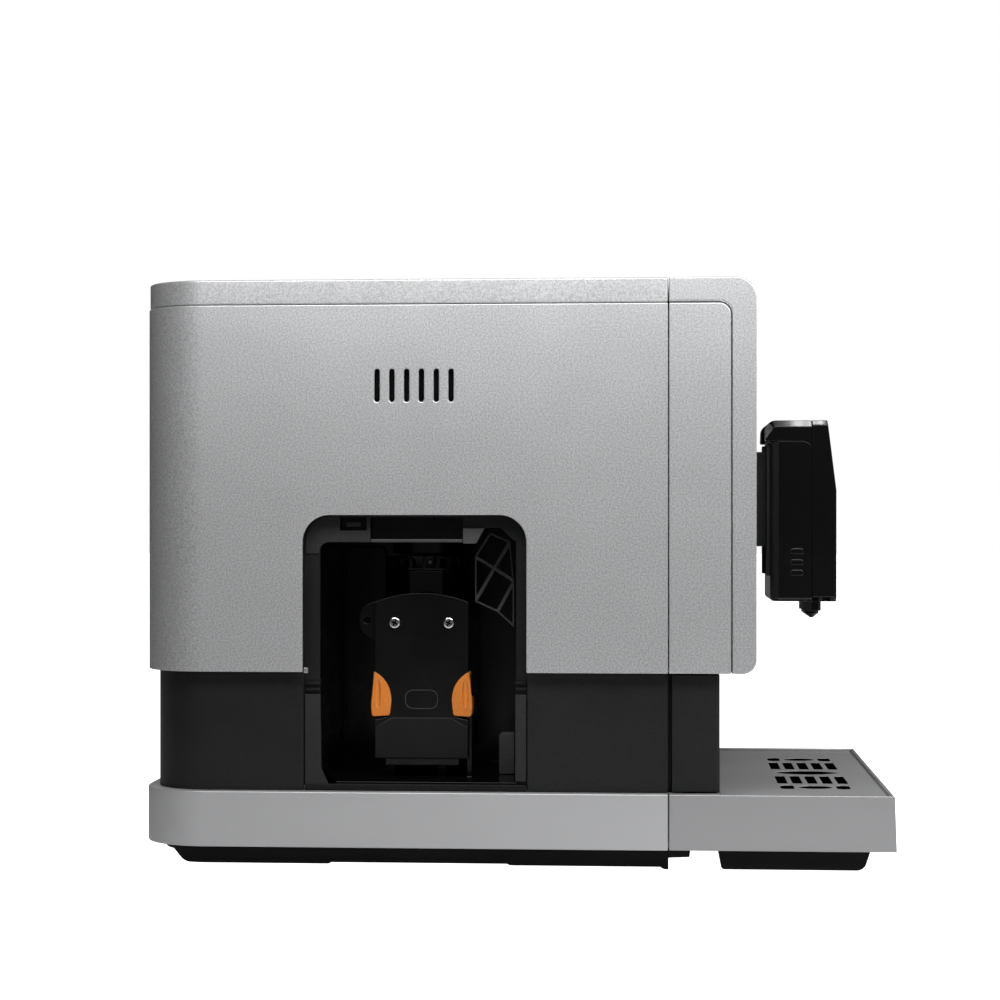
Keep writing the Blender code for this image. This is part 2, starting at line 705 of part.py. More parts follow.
def bay_liner():
    """The five-sided box round the brew unit, with floor rails and an arch for spent grounds."""
    front, rear = OPENING_FRONT + 0.0046, OPENING_REAR - 0.0070
    low, high = FLOOR_HIGH + GAP, OPENING_TOP + 0.0005
    outside_low = (FLANGE_X + WALL + GAP, front - BAY_WALL, low)
    liner = box("bay_liner", outside_low, (BAY_BACK, rear + BAY_WALL, high + BAY_WALL), "black")
    inside_low = (FLANGE_X - 0.01, front, low + BAY_WALL)
    cut(liner, box("bay_hollow", inside_low, (BAY_BACK - BAY_WALL, rear, high)))
    mouth = arch(CYLINDER_X - 0.035, CYLINDER_X + 0.025, low + BAY_WALL + 0.02, 0.1350, 0.029)
    cut(liner, extruded("grounds_mouth", "Y", [mouth], front - 0.005, front + 0.005))
    drive = circle((BREW_Y, DRIVE_Z), DRIVE_RADIUS + 0.0015, 20)
    cut(liner, extruded("drive_hole", "X", [drive], BAY_BACK - 0.005, BAY_BACK + 0.005))
    for side in (-1, 1):
        y = BREW_Y + side * RAIL_SPACING / 2
        rail_low = (BREW_X + 0.022, y - 0.003, low + BAY_WALL / 2)
        join(liner, box("floor_rail", rail_low, (BAY_BACK - 0.010, y + 0.003, TAB_LOW - GAP)))
    guide = BREW_Y - BREW_WIDTH / 2 - GUIDE_CLEARANCE
    guide_low = (BREW_X + 0.004, guide - GUIDE_THICKNESS, low + BAY_WALL / 2)
    return join(liner, box("guide_rail", guide_low, (BREW_X + 0.016, guide, GUIDE_HIGH)))


def inset(points, amount):
    """A polygon with every side moved inwards by the same amount."""
    moved = []
    turn = sum(a[0] * b[1] - b[0] * a[1] for a, b in zip(points, points[1:] + points[:1]))
    inward = amount if turn > 0 else -amount
    for i, point in enumerate(points):
        here = Vector(point)
        before = (here - Vector(points[i - 1])).normalized()
        after = (Vector(points[(i + 1) % len(points)]) - here).normalized()
        normal_a = Vector((-before.y, before.x))
        normal_b = Vector((-after.y, after.x))
        middle = (normal_a + normal_b).normalized()
        moved.append(tuple(here + middle * (inward / middle.dot(normal_a))))
    return moved


def lattice_bracket():
    """The ribbed bracket in the bay's upper front corner."""
    start = OPENING_FRONT + 0.0083
    reach = BREW_Y - BREW_WIDTH / 2 - 0.0035 - start

    def node(share, drop):
        return (start + reach * share, OPENING_TOP - drop)

    a, b, c = node(0.64, 0.0105), node(1.0, 0.0249), node(0.14, 0.0157)
    d, e = node(0.53, 0.0322), node(1.0, 0.0527)
    f, g, h = node(0.46, 0.0590), node(0.05, 0.0400), node(0.05, 0.0684)
    cells = ([a, b, d, c], [b, e, d], [d, e, f, g], [c, d, g], [g, f, h])
    outline = inset([a, b, e, f, h, g, c], -0.0010)
    holes = [inset(cell, 0.0011) for cell in cells]
    x = -SIDE + 0.042
    return extruded("lattice_bracket", "X", [outline, *holes], x, x + 0.006, "black")


def brew_head():
    """The fixed upper seal that the brew cylinder meets when the unit is home."""
    top = OPENING_TOP + 0.0005 - GAP
    low = CYLINDER_TOP + 0.0010
    return cylinder("brew_head", "Z", (CYLINDER_X, BREW_Y), BORE_RADIUS + 0.002, low, top, "grey", sides=32)


def plate_outline():
    """The brew unit's front plate: a crowned top and a bay each side for the latch pads."""
    half, y = BREW_WIDTH / 2, BREW_Y
    rise = PLATE_CROWN - PLATE_SHOULDER
    radius = (half * half + rise * rise) / (2 * rise)
    swing = math.degrees(math.asin(half / radius))
    crown = arc((y, PLATE_CROWN - radius), radius, 90 - swing, 90 + swing, 10)
    height = LATCH_HIGH - LATCH_LOW
    notch = [
        (half, LATCH_HIGH + 0.0010),
        (half - 0.0045, LATCH_HIGH - height * 0.10),
        (half - 0.0085, LATCH_HIGH - height * 0.32),
        (half - 0.0105, LATCH_HIGH - height * 0.58),
        (half - 0.0100, LATCH_HIGH - height * 0.85),
        (half - 0.0085, LATCH_LOW - 0.0002),
        (half, LATCH_LOW - 0.0025),
    ]
    left = [(y - across, up) for across, up in notch]
    right = [(y + across, up) for across, up in notch[::-1]]
    return [*crown, *left, (y - half, PLATE_LOW), (y + half, PLATE_LOW), *right]


def brew_unit_casing():
    """The plate, the housing behind it and the two screws that hold them together."""
    back = BREW_X + PLATE_THICKNESS
    plate = extruded("brew_plate", "X", [plate_outline()], BREW_X, back, "black")
    half = BREW_WIDTH / 2 - 0.0008
    start, end = back + GAP, BREW_X + BREW_LENGTH
    low = (start, BREW_Y - half, PLATE_LOW)
    housing = box("brew_housing", low, (end, BREW_Y + half, HOUSING_TOP), "black")
    wall = 0.0022
    inside_low = (start + 0.0125, BREW_Y - half + wall, PLATE_LOW + wall)
    inside_high = (end - wall, BREW_Y + half - wall, HOUSING_TOP + 0.01)
    cut(housing, box("housing_hollow", inside_low, inside_high))
    for i, side in enumerate((-1, 1)):
        reach = sorted((side * (half - LATCH_REACH - LATCH_TRAVEL - 0.002), side * (half + 0.005)))
        pocket_low = (start - 0.01, BREW_Y + reach[0], LATCH_LOW - 0.0030)
        pocket_high = (start + LATCH_DEPTH + 0.0006, BREW_Y + reach[1], LATCH_HIGH + 0.0012)
        cut(housing, box("latch_pocket_" + str(i), pocket_low, pocket_high))
    ear = rounded(
        [
            (BREW_Y + half - 0.001, 0.1330, 0.0),
            (BREW_Y + half + 0.0110, 0.1400, 0.005),
            (BREW_Y + half + 0.0110, 0.1520, 0.005),
            (BREW_Y + half - 0.001, HOUSING_TOP - 0.001, 0.0),
        ],
        3,
    )
    eye = circle((BREW_Y + half + 0.0062, 0.1455), 0.0022, 12)
    lug = extruded("housing_ear", "X", [ear, eye], start + 0.003, start + 0.0055)
    tab_low = (start + 0.0010, BREW_Y - TAB_WIDTH / 2, TAB_LOW)
    tab = box("housing_tab", tab_low, (end - 0.002, BREW_Y + TAB_WIDTH / 2, PLATE_LOW + 0.001))
    join(housing, lug, tab)
    socket = DRIVE_RADIUS + 0.0011
    cut(housing, cylinder("drive_socket", "X", (BREW_Y, DRIVE_Z), socket, end - 0.006, end + 0.01))
    head = (BREW_X - SCREW_HEAD, BREW_X - GAP)
    for i, side in enumerate((-1, 1)):
        place = (BREW_Y - 0.0002 + side * SCREW_SPACING / 2, SCREW_Z)
        cylinder("brew_screw_" + str(i + 1), "X", place, SCREW_RADIUS, *head, "steel", sides=20)
    return plate


def brew_latches():
    """The two finger pads that are squeezed together to free the brew unit."""
    start = BREW_X + PLATE_THICKNESS + GAP
    half = BREW_WIDTH / 2 - 0.0008
    for name, side in (("latch_front", -1), ("latch_rear", 1)):
        corners = [
            (half - LATCH_REACH, LATCH_LOW + 0.001, 0.002),
            (half + 0.0020, LATCH_LOW, 0.001),
            (half + 0.0006, LATCH_LOW + 0.011, 0.006),
            (half + 0.0012, LATCH_HIGH, 0.001),
            (half - LATCH_REACH, LATCH_HIGH - 0.004, 0.006),
        ]
        outline = [(BREW_Y + side * across, up) for across, up in rounded(corners, 3)]
        origin = (start, BREW_Y + side * half, (LATCH_LOW + LATCH_HIGH) / 2)
        extruded(name, "X", [outline], start, start + LATCH_DEPTH, "orange", origin)


def brew_chamber():
    """The cylinder where the coffee is pressed, and the piston that presses it."""
    centre = (CYLINDER_X, BREW_Y)
    low = PLATE_LOW + 0.030
    flange_low = HOUSING_TOP + GAP
    profile = [
        (CYLINDER_RADIUS, CYLINDER_TOP),
        (CYLINDER_RADIUS, CYLINDER_TOP - 0.0085),
        (CYLINDER_RADIUS - 0.0012, CYLINDER_TOP - 0.0095),
        (CYLINDER_RADIUS - 0.0012, flange_low),
        (SLEEVE_RADIUS, flange_low),
        (SLEEVE_RADIUS, low),
        (BORE_RADIUS, low),
        (BORE_RADIUS, CYLINDER_TOP),
    ]
    turned("brew_cylinder", centre, profile, "black")
    crown = CYLINDER_TOP - PISTON_TRAVEL - 0.004
    origin = (*centre, crown)
    radius = BORE_RADIUS - 0.0005
    cylinder("brew_piston", "Z", centre, radius, crown - 0.020, crown, "grey", origin, sides=32)


def brew_motor():
    """The geared motor behind the bay, with the dog that drives the brew unit."""
    low = (BAY_BACK + GAP, BREW_Y - 0.026, FLOOR_HIGH + GAP)
    motor = box("brew_motor", low, (BAY_BACK + 0.040, BREW_Y + 0.026, MOTOR_HIGH), "grey", edge=0.002)
    reach = (BREW_X + BREW_LENGTH + 0.003, BAY_BACK + 0.010)
    dog = cylinder("drive_dog", "X", (BREW_Y, DRIVE_Z), DRIVE_RADIUS, *reach)
    return join(motor, dog)


def spout():
    """The coffee spout, which slides on a rail fixed to the face."""
    half = SPOUT_WIDTH / 2
    rail_low = (-RAIL_WIDTH / 2, SPOUT_REAR + 0.0005, RAIL_LOW)
    box("spout_rail", rail_low, (RAIL_WIDTH / 2, FACE - GAP, RAIL_HIGH), "black", edge=0.001)
    origin = (0.0, SPOUT_REAR, SPOUT_LOW)
    split = SPOUT_SPLIT
    cap_low = SPOUT_TOP - 0.0130
    plan = rounded(
        [
            (-half, split + GAP, 0.0),
            (half, split + GAP, 0.0),
            (half, SPOUT_REAR, 0.006),
            (-half, SPOUT_REAR, 0.006),
        ]
    )
    body = extruded("spout_body", "Z", [plan], SPOUT_LOW, cap_low - GAP, "gloss_black", origin)
    inside = rectangle(-half + WALL, half - WALL, split + GAP + WALL, SPOUT_REAR - WALL, 0.003)
    cut(body, extruded("spout_hollow", "Z", [inside], SPOUT_LOW - 0.01, cap_low - GAP - WALL))
    cap = rounded(
        [
            (split + GAP, cap_low, 0.0),
            (SPOUT_REAR + 0.0029, cap_low, 0.001),
            (SPOUT_REAR + 0.0029, SPOUT_TOP, 0.0065),
            (split + GAP, SPOUT_TOP, 0.0),
        ]
    )
    lid = extruded("spout_cap", "X", [cap], -half, half, "gloss_black", origin)
    notch = RAIL_WIDTH / 2 + 0.0005
    cut(lid, box("rail_notch", (-notch, SPOUT_REAR + 0.0002, cap_low - 0.01), (notch, FACE, HEIGHT)))
    nose = split - SPOUT_FRONT_DEPTH
    front = [
        (split, SPOUT_LOW),
        (split, SPOUT_TOP),
        (nose + 0.0055, SPOUT_TOP),
        (nose, SPOUT_TOP - 0.044),
        (nose, SPOUT_LOW),
    ]
    extruded("spout_front", "X", [front], -half, half, "gloss_black", origin)
    for name, x in (("nozzle_left", -NOZZLE_SPACING / 2), ("nozzle_right", NOZZLE_SPACING / 2)):
        top = SPOUT_LOW - GAP
        profile = [
            (0.0059, top),
            (0.0059, top - 0.0063),
            (0.0046, top - 0.0068),
            (0.0046, top - 0.0078),
            (0.0018, top - 0.0107),
            (0.0010, top - 0.0107),
            (0.0025, top - 0.0070),
            (0.0025, top),
        ]
        turned(name, (x, split - NOZZLE_FORWARD), profile, "gloss_black", SPOUT_LOW, 24)


def stepped_box(name, levels, finish=None):
    """A box whose plan changes with height: levels are (z, x low, x high, y low, y high)."""
    shape = bmesh.new()
    bmesh.ops.create_cube(shape, size=1.0)
    top = max(shape.faces, key=lambda face: face.calc_center_median().z)
    bottom = min(shape.faces, key=lambda face: face.calc_center_median().z)
    fit_face(bottom, levels[0])
    fit_face(top, levels[1])
    for level in levels[2:]:
        grown = bmesh.ops.extrude_face_region(shape, geom=[top])["geom"]
        bmesh.ops.delete(shape, geom=[top], context="FACES_ONLY")
        top = next(item for item in grown if isinstance(item, bmesh.types.BMFace))
        fit_face(top, level)
    return add_mesh(name, shape, finish)


def fit_face(face, level):
    z, x_low, x_high, y_low, y_high = level
    middle = face.calc_center_median()
    for vert in face.verts:
        x = x_low if vert.co.x < middle.x else x_high
        y = y_low if vert.co.y < middle.y else y_high
        vert.co = (x, y, z)


def bean_hopper():
    """The funnel over the grinder, and the lid that lies flush in the top cover."""
    funnel_top = CAP_LOW - HOPPER_LIP

    def levels(wall, low, high):
        half = THROAT - wall
        pipe = (GRINDER_X - half, GRINDER_X + half, GRINDER_Y - half, GRINDER_Y + half)
        bin_x = (HOPPER_LEFT + wall, HOPPER_RIGHT - wall)
        bin_y = (HOPPER_FRONT + wall, HOPPER_REAR - wall)
        return [
            (low, *pipe),
            (HOPPER_LOW + 0.008, *pipe),
            (funnel_top + wall / 2, *bin_x, *bin_y),
            (high, *bin_x, *bin_y),
        ]

    top = HEIGHT - WALL - 0.003
    hopper = stepped_box("bean_hopper", levels(0.0, HOPPER_LOW, top), "clear")
    cut(hopper, stepped_box("hopper_hollow", levels(0.002, HOPPER_LOW - 0.01, top + 0.01)))
    x_low, x_high, y_low, y_high = hopper_opening(0.0)
    hinge = ((x_low + x_high) / 2, y_high, HEIGHT)
    box("hopper_lid", (x_low, y_low, HEIGHT - WALL), (x_high, y_high, HEIGHT), "silver", hinge)


def grinder():
    """The burrs in their cup, the motor under them and the dial that sets the grind."""
    centre = (GRINDER_X, GRINDER_Y)
    cup_top = HOPPER_LOW - GAP
    profile = [
        (GRINDER_RADIUS + 0.006, cup_top),
        (GRINDER_RADIUS + 0.006, cup_top - 0.004),
        (GRINDER_RADIUS, cup_top - 0.004),
        (GRINDER_RADIUS, BURR_FLOOR),
        (0.006, BURR_FLOOR),
        (0.006, BURR_FLOOR + 0.003),
        (GRINDER_RADIUS - 0.003, BURR_FLOOR + 0.003),
        (GRINDER_RADIUS - 0.003, cup_top),
    ]
    turned("burr_housing", centre, profile, "grey")
    burr_low = BURR_FLOOR + 0.006
    origin = (*centre, burr_low)
    cylinder("burr", "Z", centre, 0.030, burr_low, cup_top - 0.012, "steel", origin, 0.018, 24)
    motor_low = SHELF_HIGH + GAP
    cylinder("grinder_motor", "Z", centre, MOTOR_RADIUS, motor_low, MOTOR_TOP, "steel", sides=32)
    dial_low = cup_top + GAP
    dial_top = HEIGHT - WALL - 0.003
    place = (DIAL_X, DIAL_Y)
    knob = (dial_top - 0.016, dial_top)
    origin = (*place, dial_top)
    dial = cylinder("grind_dial", "Z", place, DIAL_RADIUS, *knob, "black", origin, sides=20)
    stem = cylinder("dial_stem", "Z", place, 0.0030, dial_low, dial_top - 0.010, sides=10)
    return join(dial, stem)


def water_tank():
    """The lift-out tank, its hinged lid and the dock that its valve plugs into."""
    low = FLOOR_HIGH + GAP + DOCK_HEIGHT + GAP
    top = HEIGHT - WALL - GAP
    origin = ((TANK_LEFT + TANK_RIGHT) / 2, (TANK_FRONT + TANK_REAR) / 2, low)
    tank = extruded("water_tank", "Z", [tank_outline(0.0)], low, top, "clear", origin)
    cut(tank, extruded("tank_hollow", "Z", [tank_outline(-TANK_WALL)], low + TANK_WALL, top + 0.01))
    hinge = (TANK_LEFT, (TANK_FRONT + TANK_REAR) / 2, HEIGHT)
    extruded("tank_lid", "Z", [tank_outline(0.0)], HEIGHT - WALL, HEIGHT, "silver", hinge)
    dock_low = (TANK_LEFT, TANK_FRONT, FLOOR_HIGH + GAP)
    dock_high = (TANK_RIGHT - 0.008, TANK_REAR - CORNER + 0.009, low - GAP)
    return box("tank_dock", dock_low, dock_high, "black")


def water_parts():
    """The pump, the thermoblock and the hose from it to the brew head."""
    seat = MOTOR_HIGH + GAP
    pump_end = BREW_Y + 0.029
    low = (BAY_BACK + 0.006, BREW_Y - 0.047, seat)
    pump = box("pump", low, (BAY_BACK + 0.046, pump_end, seat + 0.043), "grey", edge=0.002)
    middle = (BAY_BACK + 0.026, seat + 0.0215)
    barrel = cylinder("pump_barrel", "Y", middle, 0.012, pump_end - 0.005, pump_end + 0.018)
    join(pump, barrel)
    heater_low = (0.006, CHEEK + 0.020, SHELF_HIGH + GAP)
    heater_high = (SIDE - 0.030, OPENING_FRONT - 0.018, SHELF_HIGH + 0.042)
    heater = box("thermoblock", heater_low, heater_high, "steel", edge=0.003)
    middle_y = (heater_low[1] + heater_high[1]) / 2
    outlet_top = heater_high[2] + 0.006
    outlet = cylinder("heater_outlet", "Z", (0.020, middle_y), 0.005, heater_high[2] - 0.002, outlet_top)
    join(heater, outlet)
    roof = OPENING_TOP + 0.0005 + BAY_WALL
    route = [
        (0.020, middle_y, outlet_top + GAP),
        (0.020, middle_y, heater_high[2] + 0.030),
        (0.018, middle_y + 0.012, roof + 0.012),
        (0.008, OPENING_FRONT + 0.010, roof + 0.022),
        (-0.010, BREW_Y - 0.020, roof + 0.026),
        (CYLINDER_X + 0.020, BREW_Y - 0.004, roof + 0.026),
        (CYLINDER_X, BREW_Y, roof + 0.014),
        (CYLINDER_X, BREW_Y, roof + 0.0010),
    ]
    return hose("brew_hose", route, 0.003)


def smooth_route(points, steps):
    """A Catmull-Rom curve through the points."""
    ends = [Vector(point) for point in points]
    ends = [2 * ends[0] - ends[1], *ends, 2 * ends[-1] - ends[-2]]
    route = []
    for a, b, c, d in zip(ends, ends[1:], ends[2:], ends[3:]):
        for step in range(steps):
            t = step / steps
            place = 2 * b + (c - a) * t + (2 * a - 5 * b + 4 * c - d) * t * t
            route.append((place + (3 * b - a - 3 * c + d) * t**3) / 2)
    return [*route, ends[-2]]


def hose(name, points, radius):
    curve = bpy.data.curves.new(name, "CURVE")
    curve.dimensions = "3D"
    curve.bevel_depth = radius
    curve.bevel_resolution = 2
    curve.use_fill_caps = True
    route = smooth_route(points, 4)
    spline = curve.splines.new("POLY")
    spline.points.add(len(route) - 1)
    for point, place in zip(spline.points, route):
        point.co = (*place, 1.0)
    item = bpy.data.objects.new(name, curve)
    PARTS.objects.link(item)
    add_finish(item, "hose")
    return item


def drip_tray():
    """The silver tray that pulls out forwards, with a shoulder for the grate and a foot under it."""
    origin = (0.0, FRONT, BASE_LOW)
    tongue = SIDE - BAND_LEDGE - 0.0015
    wall = TRAY_WALL
    outline = [(-SIDE, FRONT), (SIDE, FRONT), (SIDE, SEAM - GAP), (tongue, SEAM - GAP)]
    outline += [(tongue, TRAY_REAR), (-tongue, TRAY_REAR), (-tongue, SEAM - GAP), (-SIDE, SEAM - GAP)]
    tray = extruded("drip_tray", "Z", [outline], BASE_LOW + 0.0002, BASE_HIGH, "silver", origin)
    inside_x = tongue - wall
    hollow_low = (-inside_x, FRONT + 2 * wall, BASE_LOW + wall)
    cut(tray, box("tray_hollow", hollow_low, (inside_x, TRAY_REAR - wall, BASE_HIGH + 0.01)))
    shoulder = BASE_HIGH - GRATE_DROP - GRATE_THICKNESS - GAP
    recess_low = (-SIDE + wall, FRONT + wall, shoulder)
    cut(tray, box("grate_recess", recess_low, (SIDE - wall, GRATE_REAR, BASE_HIGH + 0.01)))
    foot = rounded(
        [
            (FRONT + 0.0185, TRAY_FOOT_LOW, 0.004),
            (FRONT + 0.1020, TRAY_FOOT_LOW, 0.002),
            (FRONT + 0.1032, BASE_LOW - GAP, 0.0),
            (FRONT + 0.0148, BASE_LOW - GAP, 0.0),
        ]
    )
    side = SIDE - TRAY_FOOT_INSET
    extruded("tray_foot", "X", [foot], -side, side, "black", origin)


def grate():
    """The plate over the tray: lenses and slots in five groups across the machine."""
    wall = TRAY_WALL + 0.0005
    high = BASE_HIGH - GRATE_DROP
    low = high - GRATE_THICKNESS
    edge = rectangle(-SIDE + wall, SIDE - wall, FRONT + wall, GRATE_REAR - 0.0005, 0.001, 2)
    middle = FRONT + GRATE_MIDDLE
    upright_lens = [(y, x) for x, y in lens((middle, 0.0), 0.042, 0.0215)]
    holes = [upright_lens]
    for side in (-1, 1):
        for i in range(5):
            holes.append(slot((side * 0.0405, middle + (i - 2) * SLOT_PITCH), 0.042, 0.0062, 4))
        holes.append(lens((side * 0.0805, middle), 0.021, 0.017))
        for away in (-0.017, 0.017):
            holes.append(slot((side * 0.0805, middle + away), 0.020, 0.0082, 4))
    origin = (0.0, middle, high)
    return extruded("grate", "Z", [edge, *holes], low, high, "silver", origin)


def grounds_container():
    """The bin for spent grounds: a wide front and a narrower tub behind the seam."""
    low, high = BASE_HIGH + 0.0008, SHELL_LOW - 0.0010
    wide = SKIRT_SIDE
    slim = SKIRT_SIDE - WALL - 0.0055
    front, step, rear = GRATE_REAR + GAP, SEAM - 0.0020, TRAY_REAR - 0.0015
    outline = rounded(
        [
            (-wide, front, 0.0025),
            (wide, front, 0.0025),
            (wide, step, 0.0),
            (slim, step, 0.0),
            (slim, rear, 0.004),
            (-slim, rear, 0.004),
            (-slim, step, 0.0),
            (-wide, step, 0.0),
        ],
        3,
    )
    origin = (0.0, front, low)
    tub = extruded("grounds_container", "Z", [outline], low, high, "black", origin)
    wall = 0.0025
    inside = rectangle(-slim + wall, slim - wall, front + wall, rear - wall, 0.003)
    cut(tub, extruded("tub_hollow", "Z", [inside], low + wall, high + 0.01))
    gate_low = (CYLINDER_X - 0.036, rear - 0.02, 0.0850)
    return cut(tub, box("tub_gate", gate_low, (CYLINDER_X + 0.026, rear + 0.01, high + 0.01)))


clear_scene()
PARTS = collection("espresso_machine")
CUTTERS = collection("cutters")
base_pan()
feet()
base_band()
floor_plate()
mid_shelf()
side_panels()
rear_panel()
skirts()
mains_inlet()
power_switch()
top_cover()
front_bezel()
front_controls()
cheeks()
door_frame()
bay_liner()
lattice_bracket()
brew_head()
brew_unit_casing()
brew_latches()
brew_chamber()
brew_motor()
spout()
bean_hopper()
grinder()
water_tank()
water_parts()
drip_tray()
grate()
grounds_container()
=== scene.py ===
import math

import bmesh
import bpy
from mathutils import Matrix, Vector


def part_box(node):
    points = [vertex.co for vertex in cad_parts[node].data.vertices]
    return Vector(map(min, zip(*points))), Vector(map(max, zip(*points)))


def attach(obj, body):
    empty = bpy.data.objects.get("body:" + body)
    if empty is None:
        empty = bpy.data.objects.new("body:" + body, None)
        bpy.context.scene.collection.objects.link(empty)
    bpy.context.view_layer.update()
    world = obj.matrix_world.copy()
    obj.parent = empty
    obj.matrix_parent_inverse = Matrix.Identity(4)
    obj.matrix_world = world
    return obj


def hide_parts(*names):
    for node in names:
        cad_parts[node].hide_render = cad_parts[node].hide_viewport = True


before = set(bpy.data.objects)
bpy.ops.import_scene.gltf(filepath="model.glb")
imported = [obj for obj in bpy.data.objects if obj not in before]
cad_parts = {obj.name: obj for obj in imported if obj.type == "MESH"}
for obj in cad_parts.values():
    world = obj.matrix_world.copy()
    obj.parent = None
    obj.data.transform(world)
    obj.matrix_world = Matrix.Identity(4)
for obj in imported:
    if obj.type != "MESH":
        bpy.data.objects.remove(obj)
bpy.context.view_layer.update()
print("frame loaded:", len(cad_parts), "nodes")

gap = 0.0003  # the CAD model's joint between two parts
past = 0.01  # how far a cutting tool reaches past the shape it cuts
near = 0.0001  # a point this close to a face lies on it
axisPlaces = {  # where an outline's across, up and thickness go
    "x": Matrix(((0, 0, 1), (1, 0, 0), (0, 1, 0))).to_4x4(),
    "y": Matrix(((1, 0, 0), (0, 0, 1), (0, 1, 0))).to_4x4(),
    "z": Matrix.Identity(4),
}


# mesh tools
def place(bm, axis, centre=(0, 0), along=0.0):
    shift = Matrix.Translation((centre[0], centre[1], along))
    bmesh.ops.transform(bm, matrix=axisPlaces[axis] @ shift, verts=bm.verts)
    bmesh.ops.recalc_face_normals(bm, faces=bm.faces)
    return bm


def blockBm(low, high):
    bm = bmesh.new()
    bmesh.ops.create_cube(bm, size=1.0)
    low, high = Vector(low), Vector(high)
    bmesh.ops.scale(bm, verts=bm.verts, vec=high - low)
    bmesh.ops.translate(bm, verts=bm.verts, vec=(low + high) / 2)
    return bm


def raiseFaces(bm, height):
    grown = bmesh.ops.extrude_face_region(bm, geom=bm.faces[:])["geom"]
    lifted = [item for item in grown if isinstance(item, bmesh.types.BMVert)]
    bmesh.ops.translate(bm, verts=lifted, vec=(0, 0, height))


def outlineBm(axis, corners, low, high, steps=8):
    # corners are (across, up) or (across, up, radius), in order round the shape
    bm = bmesh.new()
    points = [bm.verts.new((corner[0], corner[1], low)) for corner in corners]
    bm.faces.new(points)
    radii = [corner[2] if len(corner) > 2 else 0.0 for corner in corners]
    for radius in sorted(set(radii) - {0.0}):
        chosen = [point for point, own in zip(points, radii) if own == radius]
        bmesh.ops.bevel(
            bm, geom=chosen, offset=radius, offset_type="OFFSET", affect="VERTICES",
            segments=steps, profile=0.5, material=-1,
        )
    raiseFaces(bm, high - low)
    return place(bm, axis)


def rectangleCorners(low, high, radius=0.0):
    return [
        (low[0], low[1], radius), (high[0], low[1], radius),
        (high[0], high[1], radius), (low[0], high[1], radius),
    ]


def slotBm(axis, centre, width, height, low, high, radius=None, steps=5):
    radius = min(width, height) * 0.49 if radius is None else radius
    first = (centre[0] - width / 2, centre[1] - height / 2)
    last = (centre[0] + width / 2, centre[1] + height / 2)
    return outlineBm(axis, rectangleCorners(first, last, radius), low, high, steps)


def discBm(axis, centre, radius, low, high, steps=48, endRadius=None):
    bm = bmesh.new()
    last = radius if endRadius is None else endRadius
    bmesh.ops.create_cone(
        bm, cap_ends=True, segments=steps, radius1=radius, radius2=last, depth=high - low
    )
    return place(bm, axis, centre, (low + high) / 2)


def ballBm(centre, size, around, rings):
    bm = bmesh.new()
    bmesh.ops.create_uvsphere(bm, u_segments=around, v_segments=rings, radius=1.0)
    bmesh.ops.scale(bm, verts=bm.verts, vec=size)
    bmesh.ops.translate(bm, verts=bm.verts, vec=centre)
    return bm


def turnedBm(centre, profile, steps=64):
    # a closed run of (radius, height) points, spun about an upright axis
    bm = bmesh.new()
    points = [bm.verts.new((centre[0] + radius, centre[1], height)) for radius, height in profile]
    edges = [bm.edges.new(pair) for pair in zip(points, points[1:] + points[:1])]
    bmesh.ops.spin(
        bm, geom=points + edges, cent=(centre[0], centre[1], 0), axis=(0, 0, 1),
        angle=math.tau, steps=steps, use_merge=True,
    )
    bmesh.ops.remove_doubles(bm, verts=bm.verts, dist=0.000001)
    bmesh.ops.recalc_face_normals(bm, faces=bm.faces)
    return bm


def roundEdges(bm, test, radius, steps=4):
    # test gets an edge's two ends
    chosen = [edge for edge in bm.edges if test(edge.verts[0].co, edge.verts[1].co)]
    bmesh.ops.bevel(
        bm, geom=chosen, offset=radius, offset_type="OFFSET", affect="EDGES",
        segments=steps, profile=0.5, material=-1,
    )
    return bm


def onSides(a, b, side):
    # whether an edge lies wholly on the left or wholly on the right side
    return min(abs(a.x), abs(b.x)) > side - near and a.x * b.x > 0


def mirrorBm(bm):
    bmesh.ops.scale(bm, vec=(-1, 1, 1), verts=bm.verts)
    bmesh.ops.recalc_face_normals(bm, faces=bm.faces)
    return bm


def joinBm(*parts):
    whole = parts[0]
    for part in parts[1:]:
        mesh = bpy.data.meshes.new("joined")
        part.to_mesh(mesh)
        part.free()
        whole.from_mesh(mesh)
        bpy.data.meshes.remove(mesh)
    return whole


def loose(bm, name):
    mesh = bpy.data.meshes.new(name)
    bm.to_mesh(mesh)
    bm.free()
    item = bpy.data.objects.new(name, mesh)
    bpy.context.scene.collection.objects.link(item)
    return item


def carve(bm, *tools, operation="DIFFERENCE"):
    # cuts each tool from the shape, or joins or crosses it, and gives back a new bmesh
    base = loose(bm, "carved")
    helpers = [loose(tool, "tool") for tool in tools]
    for helper in helpers:
        step = base.modifiers.new("carve", "BOOLEAN")
        step.operation = operation
        step.solver = "EXACT"
        step.object = helper
    graph = bpy.context.evaluated_depsgraph_get()
    result = bmesh.new()
    result.from_mesh(base.evaluated_get(graph).to_mesh())
    base.evaluated_get(graph).to_mesh_clear()
    for item in [base, *helpers]:
        mesh = item.data
        bpy.data.objects.remove(item)
        bpy.data.meshes.remove(mesh)
    bmesh.ops.remove_doubles(result, verts=result.verts, dist=0.000002)
    return result


